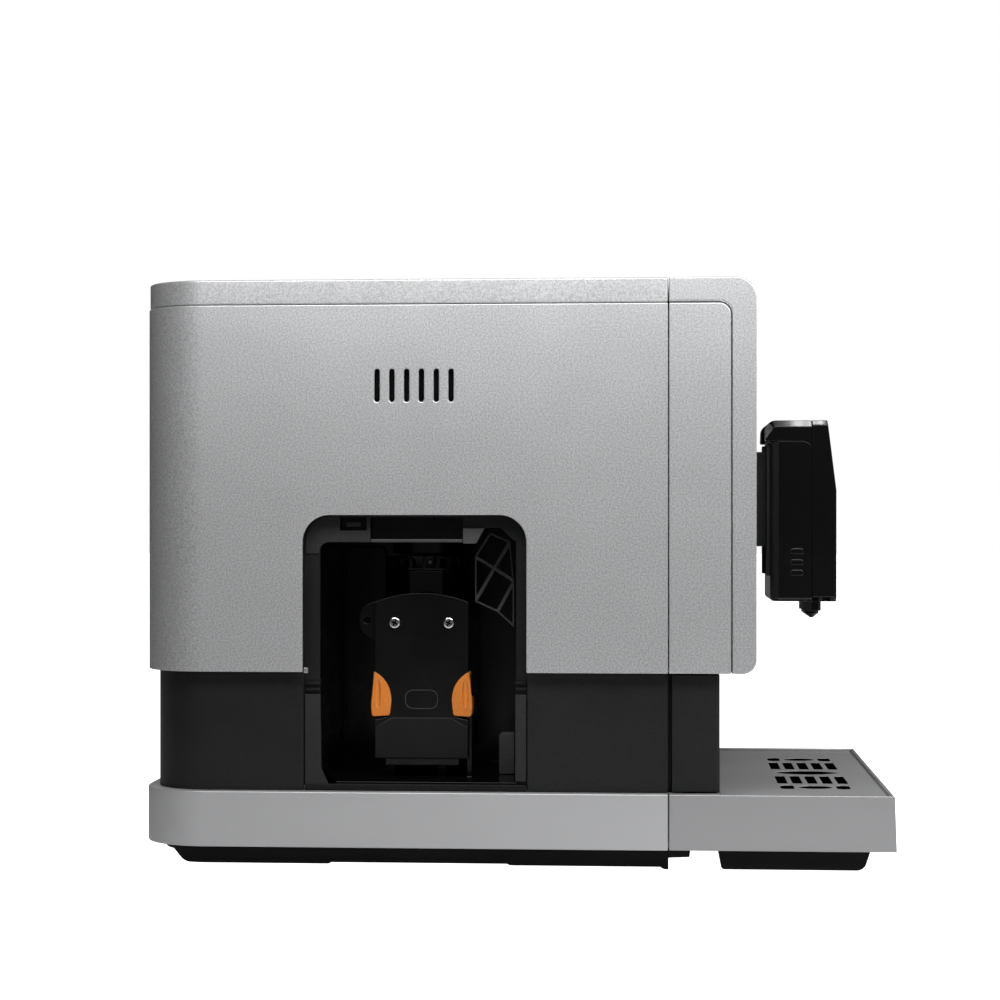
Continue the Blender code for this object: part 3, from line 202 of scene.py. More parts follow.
def addPiece(name, bm, body, finish, replaced=(), edge=0.0005, steps=2, limit=35):
    mesh = bpy.data.meshes.new(name)
    bm.to_mesh(mesh)
    bm.free()
    mesh.materials.append(finishes[finish])
    mesh.shade_smooth()
    item = bpy.data.objects.new(name, mesh)
    bpy.context.scene.collection.objects.link(item)
    if edge:
        bevel = item.modifiers.new("edges", "BEVEL")
        bevel.width = edge
        bevel.segments = steps
        bevel.limit_method = "ANGLE"
        bevel.angle_limit = math.radians(limit)
        bevel.use_clamp_overlap = False
    else:
        mesh.set_sharp_from_angle(angle=math.radians(limit))
    flat = item.modifiers.new("flatFaces", "WEIGHTED_NORMAL")
    flat.mode = "FACE_AREA"
    flat.weight = 100
    flat.keep_sharp = True
    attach(item, body)
    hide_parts(*replaced)
    return item


# camera, lamps and floor
camera = {"place": (-1.4923, -0.0829, 0.2085), "turn": 3.81, "lens": 82.7, "shiftY": 0.018}


def addCamera():
    data = bpy.data.cameras.new("sideCamera")
    data.lens = camera["lens"]
    data.sensor_width = 36
    data.shift_y = camera["shiftY"]
    item = bpy.data.objects.new("sideCamera", data)
    item.location = camera["place"]
    turn = math.radians(camera["turn"])
    sight = Vector((math.cos(turn), math.sin(turn), 0))
    item.rotation_euler = sight.to_track_quat("-Z", "Y").to_euler()
    bpy.context.scene.collection.objects.link(item)
    bpy.context.scene.camera = item


lamps = {  # place, aim, size and power
    "keyLamp": ((-0.46, -0.145, 0.58), (-0.14, -0.145, 0.26), (1.05, 0.22), 6.3),
    "trayLamp": ((0.04, -0.62, 0.55), (0.04, -0.18, 0.045), (0.24, 0.3), 3.2),
    "topLamp": ((-0.02, -0.15, 1.25), (-0.02, -0.15, 0.0), (0.5, 0.7), 1.2),
    "frontLamp": ((-0.80, -1.50, 0.90), (0.0, -0.20, 0.2), (1.0, 1.0), 2.4),
    "rearLamp": ((1.50, 0.75, 1.20), (0.05, 0.1, 0.2), (1.4, 1.2), 2.0),
    "capGlintRear": ((-0.009, -0.2228, 1.02), (-0.04, -0.2228, 0.27), (0.010, 0.10), 0.09),
    "capGlintFront": ((-0.009, -0.2426, 1.02), (-0.04, -0.2426, 0.27), (0.013, 0.10), 0.12),
}


def addLamps():
    for name, (spot, aim, size, power) in lamps.items():
        data = bpy.data.lights.new(name, "AREA")
        data.shape = "RECTANGLE"
        data.size, data.size_y = size
        data.energy = power
        item = bpy.data.objects.new(name, data)
        item.location = spot
        sight = Vector(aim) - Vector(spot)
        item.rotation_euler = sight.to_track_quat("-Z", "Y").to_euler()
        item.visible_camera = False
        bpy.context.scene.collection.objects.link(item)


room = {
    "light": 0.06, "background": 1.0, "size": 24.0,
    "floorColour": 0.68, "floorRoughness": 0.9, "floorBounce": 0.06, "floorGlow": 1.4,
}


def cameraSwitch(tree, unseen, seen, target):
    # one strength for the camera's own rays and another for all other rays
    path = tree.nodes.new("ShaderNodeLightPath")
    levels = tree.nodes.new("ShaderNodeMapRange")
    levels.inputs["To Min"].default_value = unseen
    levels.inputs["To Max"].default_value = seen
    tree.links.new(path.outputs["Is Camera Ray"], levels.inputs["Value"])
    tree.links.new(levels.outputs["Result"], target)


def addRoom():
    # a white surround that lights the machine only dimly, and a pale floor
    world = bpy.data.worlds.new("studio")
    bpy.context.scene.world = world
    world.use_nodes = True
    background = world.node_tree.nodes["Background"]
    background.inputs["Color"].default_value = (1, 1, 1, 1)
    cameraSwitch(world.node_tree, room["light"], room["background"], background.inputs["Strength"])
    bm = bmesh.new()
    bmesh.ops.create_grid(bm, x_segments=2, y_segments=2, size=room["size"] / 2)
    floor = loose(bm, "floor")
    pale = bpy.data.materials.new("paleFloor")
    pale.use_nodes = True
    shader = pale.node_tree.nodes["Principled BSDF"]
    grey = room["floorColour"]
    shader.inputs["Base Color"].default_value = (grey, grey, grey, 1)
    shader.inputs["Roughness"].default_value = room["floorRoughness"]
    shader.inputs["Specular IOR Level"].default_value = 0.0
    shader.inputs["Emission Color"].default_value = (1, 1, 1, 1)
    glow = shader.inputs["Emission Strength"]
    cameraSwitch(pale.node_tree, room["floorBounce"], room["floorGlow"], glow)
    floor.data.materials.append(pale)


bpy.context.scene.view_settings.view_transform = "Standard"
addCamera()
addLamps()
addRoom()
print("camera, lamps and floor set")

# finishes: grain and cloud are (noise scale, shade), bump is (noise scale, depth)
finishes = {}
finishSet = {
    "silverPaint": {
        "slot": "silver_paint", "colour": (0.460, 0.463, 0.470), "roughness": 0.38, "metallic": 0.60,
        "grain": (1050, 0.20), "cloud": (30, 0.006), "bump": (1100, 0.000045), "spread": 0.01,
    },
    "silverSmooth": {
        "slot": "silver_smooth", "colour": (0.460, 0.462, 0.470), "roughness": 0.42, "metallic": 0.55,
        "grain": (2600, 0.06), "cloud": (22, 0.008), "bump": (2000, 0.000010), "spread": 0.01,
    },
    "traySilver": {
        "slot": "silver_smooth", "colour": (0.335, 0.336, 0.342), "roughness": 0.42, "metallic": 0.55,
        "grain": (2600, 0.06), "cloud": (22, 0.008), "bump": (2000, 0.000010), "spread": 0.01,
    },
    "satinBlack": {
        "slot": "satin_black", "colour": (0.0085, 0.0088, 0.0095), "roughness": 0.46, "shine": 0.25,
        "grain": (900, 0.18), "cloud": (18, 0.10), "bump": (1400, 0.00003),
    },
    "footBlack": {
        "slot": "satin_black", "colour": (0.0040, 0.0040, 0.0044), "roughness": 0.50, "shine": 0.12,
        "grain": (900, 0.15), "cloud": (18, 0.10), "bump": (1400, 0.00003),
    },
    "frameBlack": {
        "slot": "satin_black", "colour": (0.0060, 0.0060, 0.0064), "roughness": 0.52, "shine": 0.2,
        "grain": (800, 0.15), "cloud": (25, 0.12), "bump": (1200, 0.00004),
    },
    "blockGrey": {
        "slot": "satin_black", "colour": (0.0135, 0.0135, 0.0138), "roughness": 0.55, "shine": 0.3,
        "grain": (800, 0.12), "cloud": (25, 0.08), "bump": (1200, 0.00004),
    },
    "frameGrey": {
        "slot": "satin_black", "colour": (0.030, 0.030, 0.031), "roughness": 0.55,
        "grain": (800, 0.12), "cloud": (25, 0.08), "bump": (1200, 0.00004),
    },
    "brewBlack": {
        "slot": "satin_black", "colour": (0.0018, 0.0018, 0.0019), "roughness": 0.24, "shine": 0.30,
        "grain": (1100, 0.15), "cloud": (30, 0.12), "bump": (1500, 0.00001), "spread": 0.04,
    },
    "glossBlack": {
        "slot": "gloss_black", "colour": (0.0035, 0.0035, 0.0038), "roughness": 0.07, "shine": 0.35,
        "grain": (600, 0.05), "cloud": (14, 0.08), "bump": (60, 0.00003), "spread": 0.03,
    },
    "greyPlastic": {
        "slot": "grey_plastic", "colour": (0.075, 0.075, 0.080), "roughness": 0.55,
        "grain": (700, 0.10), "cloud": (25, 0.06), "bump": (900, 0.00005),
    },
    "orangePlastic": {
        "slot": "orange_plastic", "colour": (0.62, 0.185, 0.022), "roughness": 0.38,
        "grain": (900, 0.06), "cloud": (60, 0.08), "bump": (1500, 0.00002),
    },
    "plainSteel": {
        "slot": "steel_sheet", "colour": (0.56, 0.56, 0.57), "roughness": 0.30, "metallic": 1.0,
        "grain": (500, 0.05), "cloud": (35, 0.05), "bump": (700, 0.00001), "spread": 0.10,
    },
    "screwChrome": {
        "slot": "screw_chrome", "colour": (0.80, 0.80, 0.81), "roughness": 0.16, "metallic": 1.0,
        "grain": (1500, 0.04), "cloud": (200, 0.05), "bump": (900, 0.00002),
    },
    "displayGlass": {
        "slot": "display", "colour": (0.004, 0.004, 0.005), "roughness": 0.06,
        "grain": (500, 0.04), "cloud": (12, 0.05), "bump": (40, 0.00001), "spread": 0.02,
    },
    "footRubber": {
        "slot": "foot_rubber", "colour": (0.020, 0.020, 0.020), "roughness": 0.85,
        "grain": (900, 0.20), "cloud": (60, 0.15), "bump": (1500, 0.00008), "spread": 0.05,
    },
    "circuitBoard": {
        "colour": (0.015, 0.110, 0.045), "roughness": 0.45,
        "grain": (700, 0.15), "cloud": (120, 0.25), "bump": (900, 0.00003), "spread": 0.05,
    },
    "hoseSilicone": {
        "colour": (0.70, 0.69, 0.65), "roughness": 0.45,
        "grain": (900, 0.04), "cloud": (80, 0.06), "bump": (1200, 0.00002), "spread": 0.05,
    },
    "smokedClear": {
        "colour": (0.52, 0.55, 0.57), "roughness": 0.06, "clear": 1.0,
        "grain": (700, 0.03), "cloud": (30, 0.05), "bump": (90, 0.00002), "spread": 0.02,
    },
}
plastic = {"metallic": 0.0, "shine": 0.5, "spread": 0.06, "clear": 0.0}  # where a finish says nothing




def noiseNode(nodes, links, coordinates, scale, detail):
    noise = nodes.new("ShaderNodeTexNoise")
    noise.inputs["Scale"].default_value = scale
    noise.inputs["Detail"].default_value = detail
    links.new(coordinates.outputs["Object"], noise.inputs["Vector"])
    return noise


def shadeRamp(nodes, links, noise, colour, amount):
    # the colour, darker where the noise is low and lighter where it is high
    ramp = nodes.new("ShaderNodeValToRGB")
    ends = zip(ramp.color_ramp.elements, (0.34, 0.66), (1 - amount, 1 + amount))
    for element, spot, factor in ends:
        element.position = spot
        element.color = (*[min(1.0, channel * factor) for channel in colour], 1)
    links.new(noise.outputs["Fac"], ramp.inputs["Fac"])
    return ramp


def addFinish(name, own):
    settings = {**plastic, **own}
    made = bpy.data.materials.new(name)
    made.use_nodes = True
    nodes, links = made.node_tree.nodes, made.node_tree.links
    shader = nodes["Principled BSDF"]
    shader.inputs["Metallic"].default_value = settings["metallic"]
    shader.inputs["Specular IOR Level"].default_value = settings["shine"]
    if settings["clear"]:
        shader.inputs["Transmission Weight"].default_value = settings["clear"]
        shader.inputs["IOR"].default_value = 1.49
    coordinates = nodes.new("ShaderNodeTexCoord")
    grain = noiseNode(nodes, links, coordinates, settings["grain"][0], 1.5)
    cloud = noiseNode(nodes, links, coordinates, settings["cloud"][0], 3.0)
    grainShade = shadeRamp(nodes, links, grain, settings["colour"], settings["grain"][1])
    cloudShade = shadeRamp(nodes, links, cloud, (0.98, 0.98, 0.98), settings["cloud"][1])
    mix = nodes.new("ShaderNodeMix")
    mix.data_type = "RGBA"
    mix.blend_type = "MULTIPLY"
    mix.inputs["Factor"].default_value = 1.0
    links.new(grainShade.outputs["Color"], mix.inputs["A"])
    links.new(cloudShade.outputs["Color"], mix.inputs["B"])
    links.new(mix.outputs["Result"], shader.inputs["Base Color"])
    rough = nodes.new("ShaderNodeMapRange")
    rough.inputs["From Min"].default_value = 0.3
    rough.inputs["From Max"].default_value = 0.7
    rough.inputs["To Min"].default_value = settings["roughness"] - settings["spread"]
    rough.inputs["To Max"].default_value = settings["roughness"] + settings["spread"]
    links.new(cloud.outputs["Fac"], rough.inputs["Value"])
    links.new(rough.outputs["Result"], shader.inputs["Roughness"])
    relief = noiseNode(nodes, links, coordinates, settings["bump"][0], 2.0)
    bump = nodes.new("ShaderNodeBump")
    bump.inputs["Strength"].default_value = 1.0
    bump.inputs["Distance"].default_value = settings["bump"][1]
    links.new(relief.outputs["Fac"], bump.inputs["Height"])
    links.new(bump.outputs["Normal"], shader.inputs["Normal"])
    finishes[name] = made


for finishName, finishValues in finishSet.items():
    addFinish(finishName, finishValues)
print("finishes made:", len(finishes))

# silver shell
leftLow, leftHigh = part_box("left_panel")
coverLow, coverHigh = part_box("top_cover")
frameLow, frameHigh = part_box("door_frame")
frameLap = 0.002
opening = {
    "front": frameLow.y + frameLap, "rear": frameHigh.y - frameLap,
    "top": frameHigh.z - frameLap, "radius": 0.016, "steps": 16,
}
openingMiddle = (opening["front"] + opening["rear"]) / 2
shell = {"wall": 0.0025, "corner": 0.040, "steps": 20, "edge": 0.0007, "coverEdge": 0.0010}
vents = {"count": 6, "pitch": 0.0088, "width": 0.0031, "height": 0.0196, "z": 0.2870}
# the black sheet behind the vent slots is painted shade for the dark inside of the casing
paintedVentShade = {"behind": 0.0030, "thick": 0.0012, "across": 0.030, "up": 0.014}


def wrapBm(low, high, wall, corner):
    # a wall along the -X side that turns the rear corner
    outline = [
        (low.x, low.y), (low.x, high.y, corner), (high.x, high.y),
        (high.x, high.y - wall), (low.x + wall, high.y - wall, corner - wall), (low.x + wall, low.y),
    ]
    return outlineBm("z", outline, low.z, high.z, shell["steps"])


def ventTool():
    slots = []
    for i in range(vents["count"]):
        centre = (openingMiddle + (i - (vents["count"] - 1) / 2) * vents["pitch"], vents["z"])
        low, high = leftLow.x - past, leftLow.x + past
        slots.append(slotBm("x", centre, vents["width"], vents["height"], low, high))
    return joinBm(*slots)


def archCorners(grow=0.0, low=0.0):
    front, rear, top = opening["front"] - grow, opening["rear"] + grow, opening["top"] + grow
    radius = opening["radius"] + grow
    return [(front, low), (front, top, radius), (rear, top, radius), (rear, low)]


def addSidePanels():
    wall, corner, edge = shell["wall"], shell["corner"], shell["edge"]
    arch = outlineBm("x", archCorners(), leftLow.x - past, leftLow.x + past, opening["steps"])
    left = carve(wrapBm(leftLow, leftHigh, wall, corner), arch, ventTool())
    addPiece("leftPanel", left, "machine", "silverPaint", ["left_panel"], edge, 3)
    right = mirrorBm(carve(wrapBm(leftLow, leftHigh, wall, corner), ventTool()))
    addPiece("rightPanel", right, "machine", "silverPaint", ["right_panel"], edge, 3)
    back = blockBm(*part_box("rear_panel"))
    addPiece("rearPanel", back, "machine", "silverPaint", ["rear_panel"], edge, 3)
    # a black sheet just behind each row of vent slots: painted shade, standing in for the dark inside
    # seen through them
    behind = leftLow.x + wall + paintedVentShade["behind"]
    low = (behind, openingMiddle - paintedVentShade["across"], vents["z"] - paintedVentShade["up"])
    high = (behind + paintedVentShade["thick"], openingMiddle + paintedVentShade["across"], vents["z"] + paintedVentShade["up"])
    addPiece("leftVentPaintedShade", blockBm(low, high), "machine", "brewBlack", (), 0.0003)
    addPiece("rightVentPaintedShade", mirrorBm(blockBm(low, high)), "machine", "brewBlack", (), 0.0003)


def planCorners(low, high, inset, corner):
    # the casing from above: square in front, round at the rear
    return [
        (low.x + inset, low.y), (low.x + inset, high.y - inset, corner - inset),
        (high.x - inset, high.y - inset, corner - inset), (high.x - inset, low.y),
    ]


lids = {
    "slide": 0.0006, "tankCorner": 0.0265, "corner": 0.006, "edge": 0.0005,
    "dish": (0.012, 0.020, 0.0011), "beanDish": 0.030, "tankDish": 0.020,
}
hopperLow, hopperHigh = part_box("hopper_lid")
tankLidLow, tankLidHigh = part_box("tank_lid")


def tankCorners(grow):
    low, high, corner = tankLidLow, tankLidHigh, lids["corner"]
    return [
        (low.x - grow, low.y - grow, corner), (high.x + grow, low.y - grow, corner),
        (high.x + grow, high.y + grow, lids["tankCorner"] + grow), (low.x - grow, high.y + grow, corner),
    ]


def addTopCover():
    corner, wall, steps = shell["corner"] - 0.0006, shell["wall"], shell["steps"]
    plan = planCorners(coverLow, coverHigh, 0.0, corner)
    body = outlineBm("z", plan, coverLow.z, coverHigh.z, steps)
    inside = planCorners(coverLow, coverHigh, wall, corner)
    inside = [(point[0], max(point[1], coverLow.y + wall), *point[2:]) for point in inside]
    body = carve(body, outlineBm("z", inside, coverLow.z - past, coverHigh.z - wall, steps))
    slack = Vector((gap, gap))
    bean = rectangleCorners(hopperLow.xy - slack, hopperHigh.xy + slack)
    bean = outlineBm("z", bean, coverHigh.z - past, coverHigh.z + past)
    tank = outlineBm("z", tankCorners(lids["slide"]), coverHigh.z - past, coverHigh.z + past, 12)
    # flat faces are split through each hole first, so that none of them has a hole in it
    for low, high in ((hopperLow, hopperHigh), (tankLidLow, tankLidHigh)):
        for direction in ((1, 0, 0), (0, 1, 0)):
            parts = body.verts[:] + body.edges[:] + body.faces[:]
            bmesh.ops.bisect_plane(body, geom=parts, plane_co=(low + high) / 2, plane_no=direction)
    body = carve(body, bean, tank)
    addPiece("topCover", body, "machine", "silverPaint", ["top_cover"], shell["coverEdge"], 3)


def addLids():
    bean = ((hopperLow.x + hopperHigh.x) / 2, hopperLow.y + lids["beanDish"], coverHigh.z)
    lid = carve(blockBm(hopperLow, hopperHigh), ballBm(bean, lids["dish"], 40, 20))
    addPiece("beanLid", lid, "bean_lid", "silverPaint", ["hopper_lid"], lids["edge"], 3)
    tank = (tankLidHigh.x - lids["tankDish"], (tankLidLow.y + tankLidHigh.y) / 2, coverHigh.z)
    lid = outlineBm("z", tankCorners(0.0), tankLidLow.z, tankLidHigh.z, 12)
    lid = carve(lid, ballBm(tank, lids["dish"], 40, 20))
    addPiece("tankLid", lid, "tank_cap", "silverPaint", ["tank_lid"], lids["edge"], 3)


addSidePanels()
addTopCover()
addLids()
print("shell done")

# front: bezel, cheeks, display and buttons
bezelLow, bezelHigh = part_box("front_bezel")
cheekLow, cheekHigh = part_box("cheek_left")
bezel = {
    "top": 0.012, "bottom": 0.008, "innerTop": 0.0095, "innerBottom": 0.0055, "steps": 14,
    "groove": 0.007, "grooveEdge": 0.0009, "edge": 0.0008, "windowCorner": 0.003, "windowDepth": 0.0015,
}


def addBezel():
    pocket, wall = cheekLow.y - gap, shell["wall"]
    profile = [
        (bezelLow.y, bezelLow.z, bezel["bottom"]), (bezelLow.y, bezelHigh.z, bezel["top"]),
        (bezelHigh.y, bezelHigh.z), (bezelHigh.y, coverLow.z),
        (pocket, coverLow.z, bezel["groove"]), (pocket, bezelLow.z),
    ]
    body = outlineBm("x", profile, bezelLow.x, bezelHigh.x, bezel["steps"])
    roundEdges(body, lambda a, b: (
        onSides(a, b, bezelHigh.x) and min(a.y, b.y) > pocket - near
        and max(a.z, b.z) < coverLow.z + near and min(a.y, b.y) < bezelHigh.y - 5 * near
    ), bezel["grooveEdge"], 1)
    inside = [
        (bezelLow.y + wall, bezelLow.z + wall, bezel["innerBottom"]),
        (bezelLow.y + wall, bezelHigh.z - wall, bezel["innerTop"]),
        (bezelHigh.y - wall, bezelHigh.z - wall), (bezelHigh.y - wall, coverLow.z - past),
        (pocket + past, coverLow.z - past), (pocket + past, bezelLow.z + wall),
    ]
    body = carve(body, outlineBm("x", inside, bezelLow.x + wall, bezelHigh.x - wall, 8))
    low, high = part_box("display_glass")
    low, high = (low.x - gap, low.z - gap), (high.x + gap, high.z + gap)
    window = rectangleCorners(low, high, bezel["windowCorner"])
    tools = [outlineBm("y", window, bezelLow.y - past, bezelLow.y + bezel["windowDepth"])]
    for name in ("button_left", "button_right"):
        low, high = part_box(name)
        radius = (high.x - low.x) / 2 + gap
        tools.append(discBm("y", ((low + high) / 2).xz, radius, bezelLow.y - past, bezelLow.y + past, 64))
    body = carve(body, joinBm(*tools))
    addPiece("frontBezel", body, "machine", "silverPaint", ["front_bezel"], bezel["edge"], 3)


def addCheeks():
    outline = [
        (cheekLow.y, cheekLow.z), (cheekHigh.y, cheekLow.z),
        (cheekHigh.y, cheekHigh.z), (cheekLow.y, cheekHigh.z, bezel["groove"]),
    ]
    for name, node in (("leftCheek", "cheek_left"), ("rightCheek", "cheek_right")):
        low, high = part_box(node)
        plate = outlineBm("x", outline, low.x, high.x, bezel["steps"])
        addPiece(name, plate, "machine", "silverPaint", [node], bezel["edge"], 3)


buttonRing = {"outer": 0.0050, "inner": 0.0042, "depth": 0.0003}


def addControls():
    low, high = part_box("display_glass")
    corners = rectangleCorners((low.x, low.z), (high.x, high.z), bezel["windowCorner"])
    glass = outlineBm("y", corners, low.y, high.y)
    addPiece("displayGlass", glass, "machine", "displayGlass", ["display_glass"], 0.0003)
    for name, node, body in (
        ("leftButton", "button_left", "left_button"), ("rightButton", "button_right", "right_button"),
    ):
        low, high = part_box(node)
        centre = ((low + high) / 2).xz
        button = discBm("y", centre, (high.x - low.x) / 2, low.y, high.y, 64)
        ring = discBm("y", centre, buttonRing["outer"], low.y - past, low.y + buttonRing["depth"], 64)
        hub = discBm("y", centre, buttonRing["inner"], low.y - 2 * past, low.y + past, 64)
        button = carve(button, carve(ring, hub))
        addPiece(name, button, body, "silverPaint", [node], 0.0002)


addBezel()
addCheeks()
addControls()
print("front done")

# base: band, skirts, pan and feet
bandLow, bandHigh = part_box("base_band")
base = {"ledge": 0.0095, "wall": 0.0025, "edge": 0.0008, "skirtCorner": 0.033, "skirtEdge": 0.0003}


def openFront(corners):
    # the same plan, with its square front moved forward past the band's
    return [point if len(point) > 2 else (point[0], bandLow.y - past) for point in corners]


def addBaseBand():
    corner, steps = shell["corner"], shell["steps"]
    plan = planCorners(bandLow, bandHigh, 0.0, corner)
    inner = openFront(planCorners(bandLow, bandHigh, base["ledge"], corner))
    core = openFront(planCorners(bandLow, bandHigh, base["wall"], corner))
    band = outlineBm("z", plan, bandLow.z, bandHigh.z, steps)
    band = carve(band, outlineBm("z", core, 0.0, bandHigh.z - base["wall"], steps))
    band = carve(band, outlineBm("z", inner, 0.0, bandHigh.z + past, steps))
    addPiece("baseBand", band, "machine", "silverSmooth", ["base_band"], base["edge"], 3)


def socketBm(node, across, up, radius, low, high):
    # a hole tool round a socket, with some slack across and up
    first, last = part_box(node)
    corners = rectangleCorners((first.x - across, first.z - up), (last.x + across, last.z + up), radius)
    return outlineBm("y", corners, low, high)


def addSkirts():
    wall, corner, edge = base["wall"], base["skirtCorner"], base["skirtEdge"]
    left = wrapBm(*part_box("skirt_left_rear"), wall, corner)
    addPiece("skirtLeftRear", left, "machine", "satinBlack", ["skirt_left_rear"], edge)
    low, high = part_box("skirt_right")
    low, high = Vector((-high.x, low.y, low.z)), Vector((-low.x, high.y, high.z))
    right = mirrorBm(wrapBm(low, high, wall, corner))
    addPiece("skirtRight", right, "machine", "satinBlack", ["skirt_right"], edge)
    front = blockBm(*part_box("skirt_left_front"))
    addPiece("skirtLeftFront", front, "machine", "satinBlack", ["skirt_left_front"], edge)
    low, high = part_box("skirt_rear")
    inlet = socketBm("mains_inlet", gap, gap, 0.003, low.y - past, high.y + past)
    rocker = socketBm("power_switch", 0.0005, 0.001, 0.0005, low.y - past, high.y + past)
    rear = carve(blockBm(low, high), joinBm(inlet, rocker))
    addPiece("skirtRear", rear, "machine", "satinBlack", ["skirt_rear"], edge)


panLow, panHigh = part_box("base_pan")
pan = {
    "low": 0.0020, "recess": 0.0029, "tongueTip": 0.0080, "tongueRoot": 0.0075, "knob": 0.0028,
    "step": 0.0048, "front": (0.0108, 0.0118), "rear": (0.0157, 0.0147), "slope": (0.0160, 0.0080),
    "rise": 0.0090, "corner": 0.010,
}


def addPan():
    tongue, rear, top, seam = panLow.y, panHigh.y, panHigh.z, bandLow.y - gap
    front, back, low = opening["front"], opening["rear"], pan["low"]
    profile = [
        (tongue, top), (tongue + 0.0006, pan["tongueTip"]), (seam, pan["tongueRoot"]), (seam, panLow.z),
        (seam + pan["knob"], panLow.z, 0.0012), (seam + pan["step"], low),
        (front + pan["front"][0], low, 0.001), (front + pan["front"][1], pan["recess"]),
        (back - pan["rear"][0], pan["recess"]), (back - pan["rear"][1], low, 0.001),
        (rear - pan["slope"][0], low, 0.003), (rear - pan["slope"][1], pan["rise"]),
        (rear, pan["rise"]), (rear, top),
    ]
    body = outlineBm("x", profile, panLow.x, panHigh.x, 4)
    corner = shell["corner"] - pan["corner"]
    plan = [
        (panLow.x, tongue - past), (panLow.x, rear, corner),
        (panHigh.x, rear, corner), (panHigh.x, tongue - past),
    ]
    body = carve(body, outlineBm("z", plan, -past, top + past, 12), operation="INTERSECT")
    addPiece("basePan", body, "machine", "footBlack", ["base_pan"], 0.0004)


def addFeet():
    for node in ("foot_left_front", "foot_left_rear", "foot_right_front", "foot_right_rear"):
        low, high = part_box(node)
        foot = discBm("z", ((low + high) / 2).xy, (high.x - low.x) / 2, low.z, high.z, 48)
        name = "rubber" + "".join(word.capitalize() for word in node.split("_"))
        addPiece(name, foot, "machine", "footRubber", [node], 0.0006)


addBaseBand()
addSkirts()
addPan()
addFeet()
print("base done")

# drip tray, grate and grounds container
trayLow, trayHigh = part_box("drip_tray")
grateLow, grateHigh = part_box("grate")
groundsLow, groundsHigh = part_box("grounds_container")
tray = {
    "wall": 0.003, "draft": 0.0011, "edge": 0.0007, "tongueSlack": 0.0015,
    # these sizes shape the black tub under the grate, which is painted shade
    "paintedShadeLining": 0.0012, "paintedShadeWall": 0.0012, "paintedShadeCorner": 0.004, "paintedShadeInner": 0.003,
    "footFront": 0.0037, "footRear": 0.0012,
}


def addTray():
    seam, wall = bandLow.y - 2 * gap, tray["wall"]
    tongue = -bandLow.x - base["ledge"] - tray["tongueSlack"]
    outline = [
        (trayLow.x, trayLow.y), (trayHigh.x, trayLow.y), (trayHigh.x, seam), (tongue, seam),
        (tongue, trayHigh.y), (-tongue, trayHigh.y), (-tongue, seam), (trayLow.x, seam),
    ]
    body = outlineBm("z", outline, trayLow.z, trayHigh.z)
    for vert in body.verts:  # the front leans back a little
        if vert.co.y < trayLow.y + near and vert.co.z > trayHigh.z - near:
            vert.co.y += tray["draft"]
    well = blockBm(
        (-tongue + wall, trayLow.y + 2 * wall, trayLow.z + wall),
        (tongue - wall, trayHigh.y - wall, trayHigh.z + past),
    )
    shoulder = blockBm(
        (trayLow.x + wall, trayLow.y + wall + tray["draft"] * 0.3, grateLow.z - gap),
        (trayHigh.x - wall, grateHigh.y + 0.0005, trayHigh.z + past),
    )
    body = carve(carve(body, well), shoulder)
    addPiece("dripTray", body, "drawer", "traySilver", ["drip_tray"], tray["edge"], 3)
    # a black tub just under the grate: painted shade for the dark inside of the tray seen through the
    # grate's holes
    paintedShadeLining = []
    for inset, radius, high in (
        (gap, tray["paintedShadeCorner"], grateLow.z - tray["paintedShadeLining"]),
        (tray["paintedShadeWall"], tray["paintedShadeInner"], grateLow.z + past),
    ):
        first = (-tongue + wall + inset, trayLow.y + 2 * wall + inset)
        last = (tongue - wall - inset, trayHigh.y - wall - inset)
        corners = rectangleCorners(first, last, radius)
        paintedShadeLining.append(outlineBm("z", corners, trayLow.z + wall + inset, high, 6))
    addPiece("trayPaintedShade", carve(*paintedShadeLining), "drawer", "brewBlack", (), 0.0002)


def addTrayFoot():
    low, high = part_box("tray_foot")
    profile = [
        (low.y + tray["footFront"], low.z, 0.004), (high.y - tray["footRear"], low.z, 0.002),
        (high.y, high.z), (low.y, high.z),
    ]
    foot = outlineBm("x", profile, low.x, high.x, 6)
    addPiece("trayFoot", foot, "drawer", "footBlack", ["tray_foot"], 0.0008, 3)


def lensBm(centre, across, up, low, high):
    # two discs crossed, pointed left and right when across is the longer
    tall = up > across
    longer, shorter = max(across, up) / 2, min(across, up) / 2
    radius = (longer * longer + shorter * shorter) / (2 * shorter)
    shift = radius - shorter
    offset = Vector((shift, 0)) if tall else Vector((0, shift))
    first = discBm("z", Vector(centre) + offset, radius, low, high, 128)
    second = discBm("z", Vector(centre) - offset, radius, low, high, 128)
    return carve(first, second, operation="INTERSECT")


holes = {
    "middle": 0.0433, "count": 5, "pitch": 0.0093, "across": 0.0405, "end": 0.0805, "away": 0.017,
    "slot": (0.042, 0.0062), "slotCorner": 0.0012, "oval": (0.020, 0.0082), "ovalCorner": 0.0034,
    "lens": (0.0215, 0.042), "endLens": (0.017, 0.021), "sheet": 0.0004, "rim": 0.004,
}


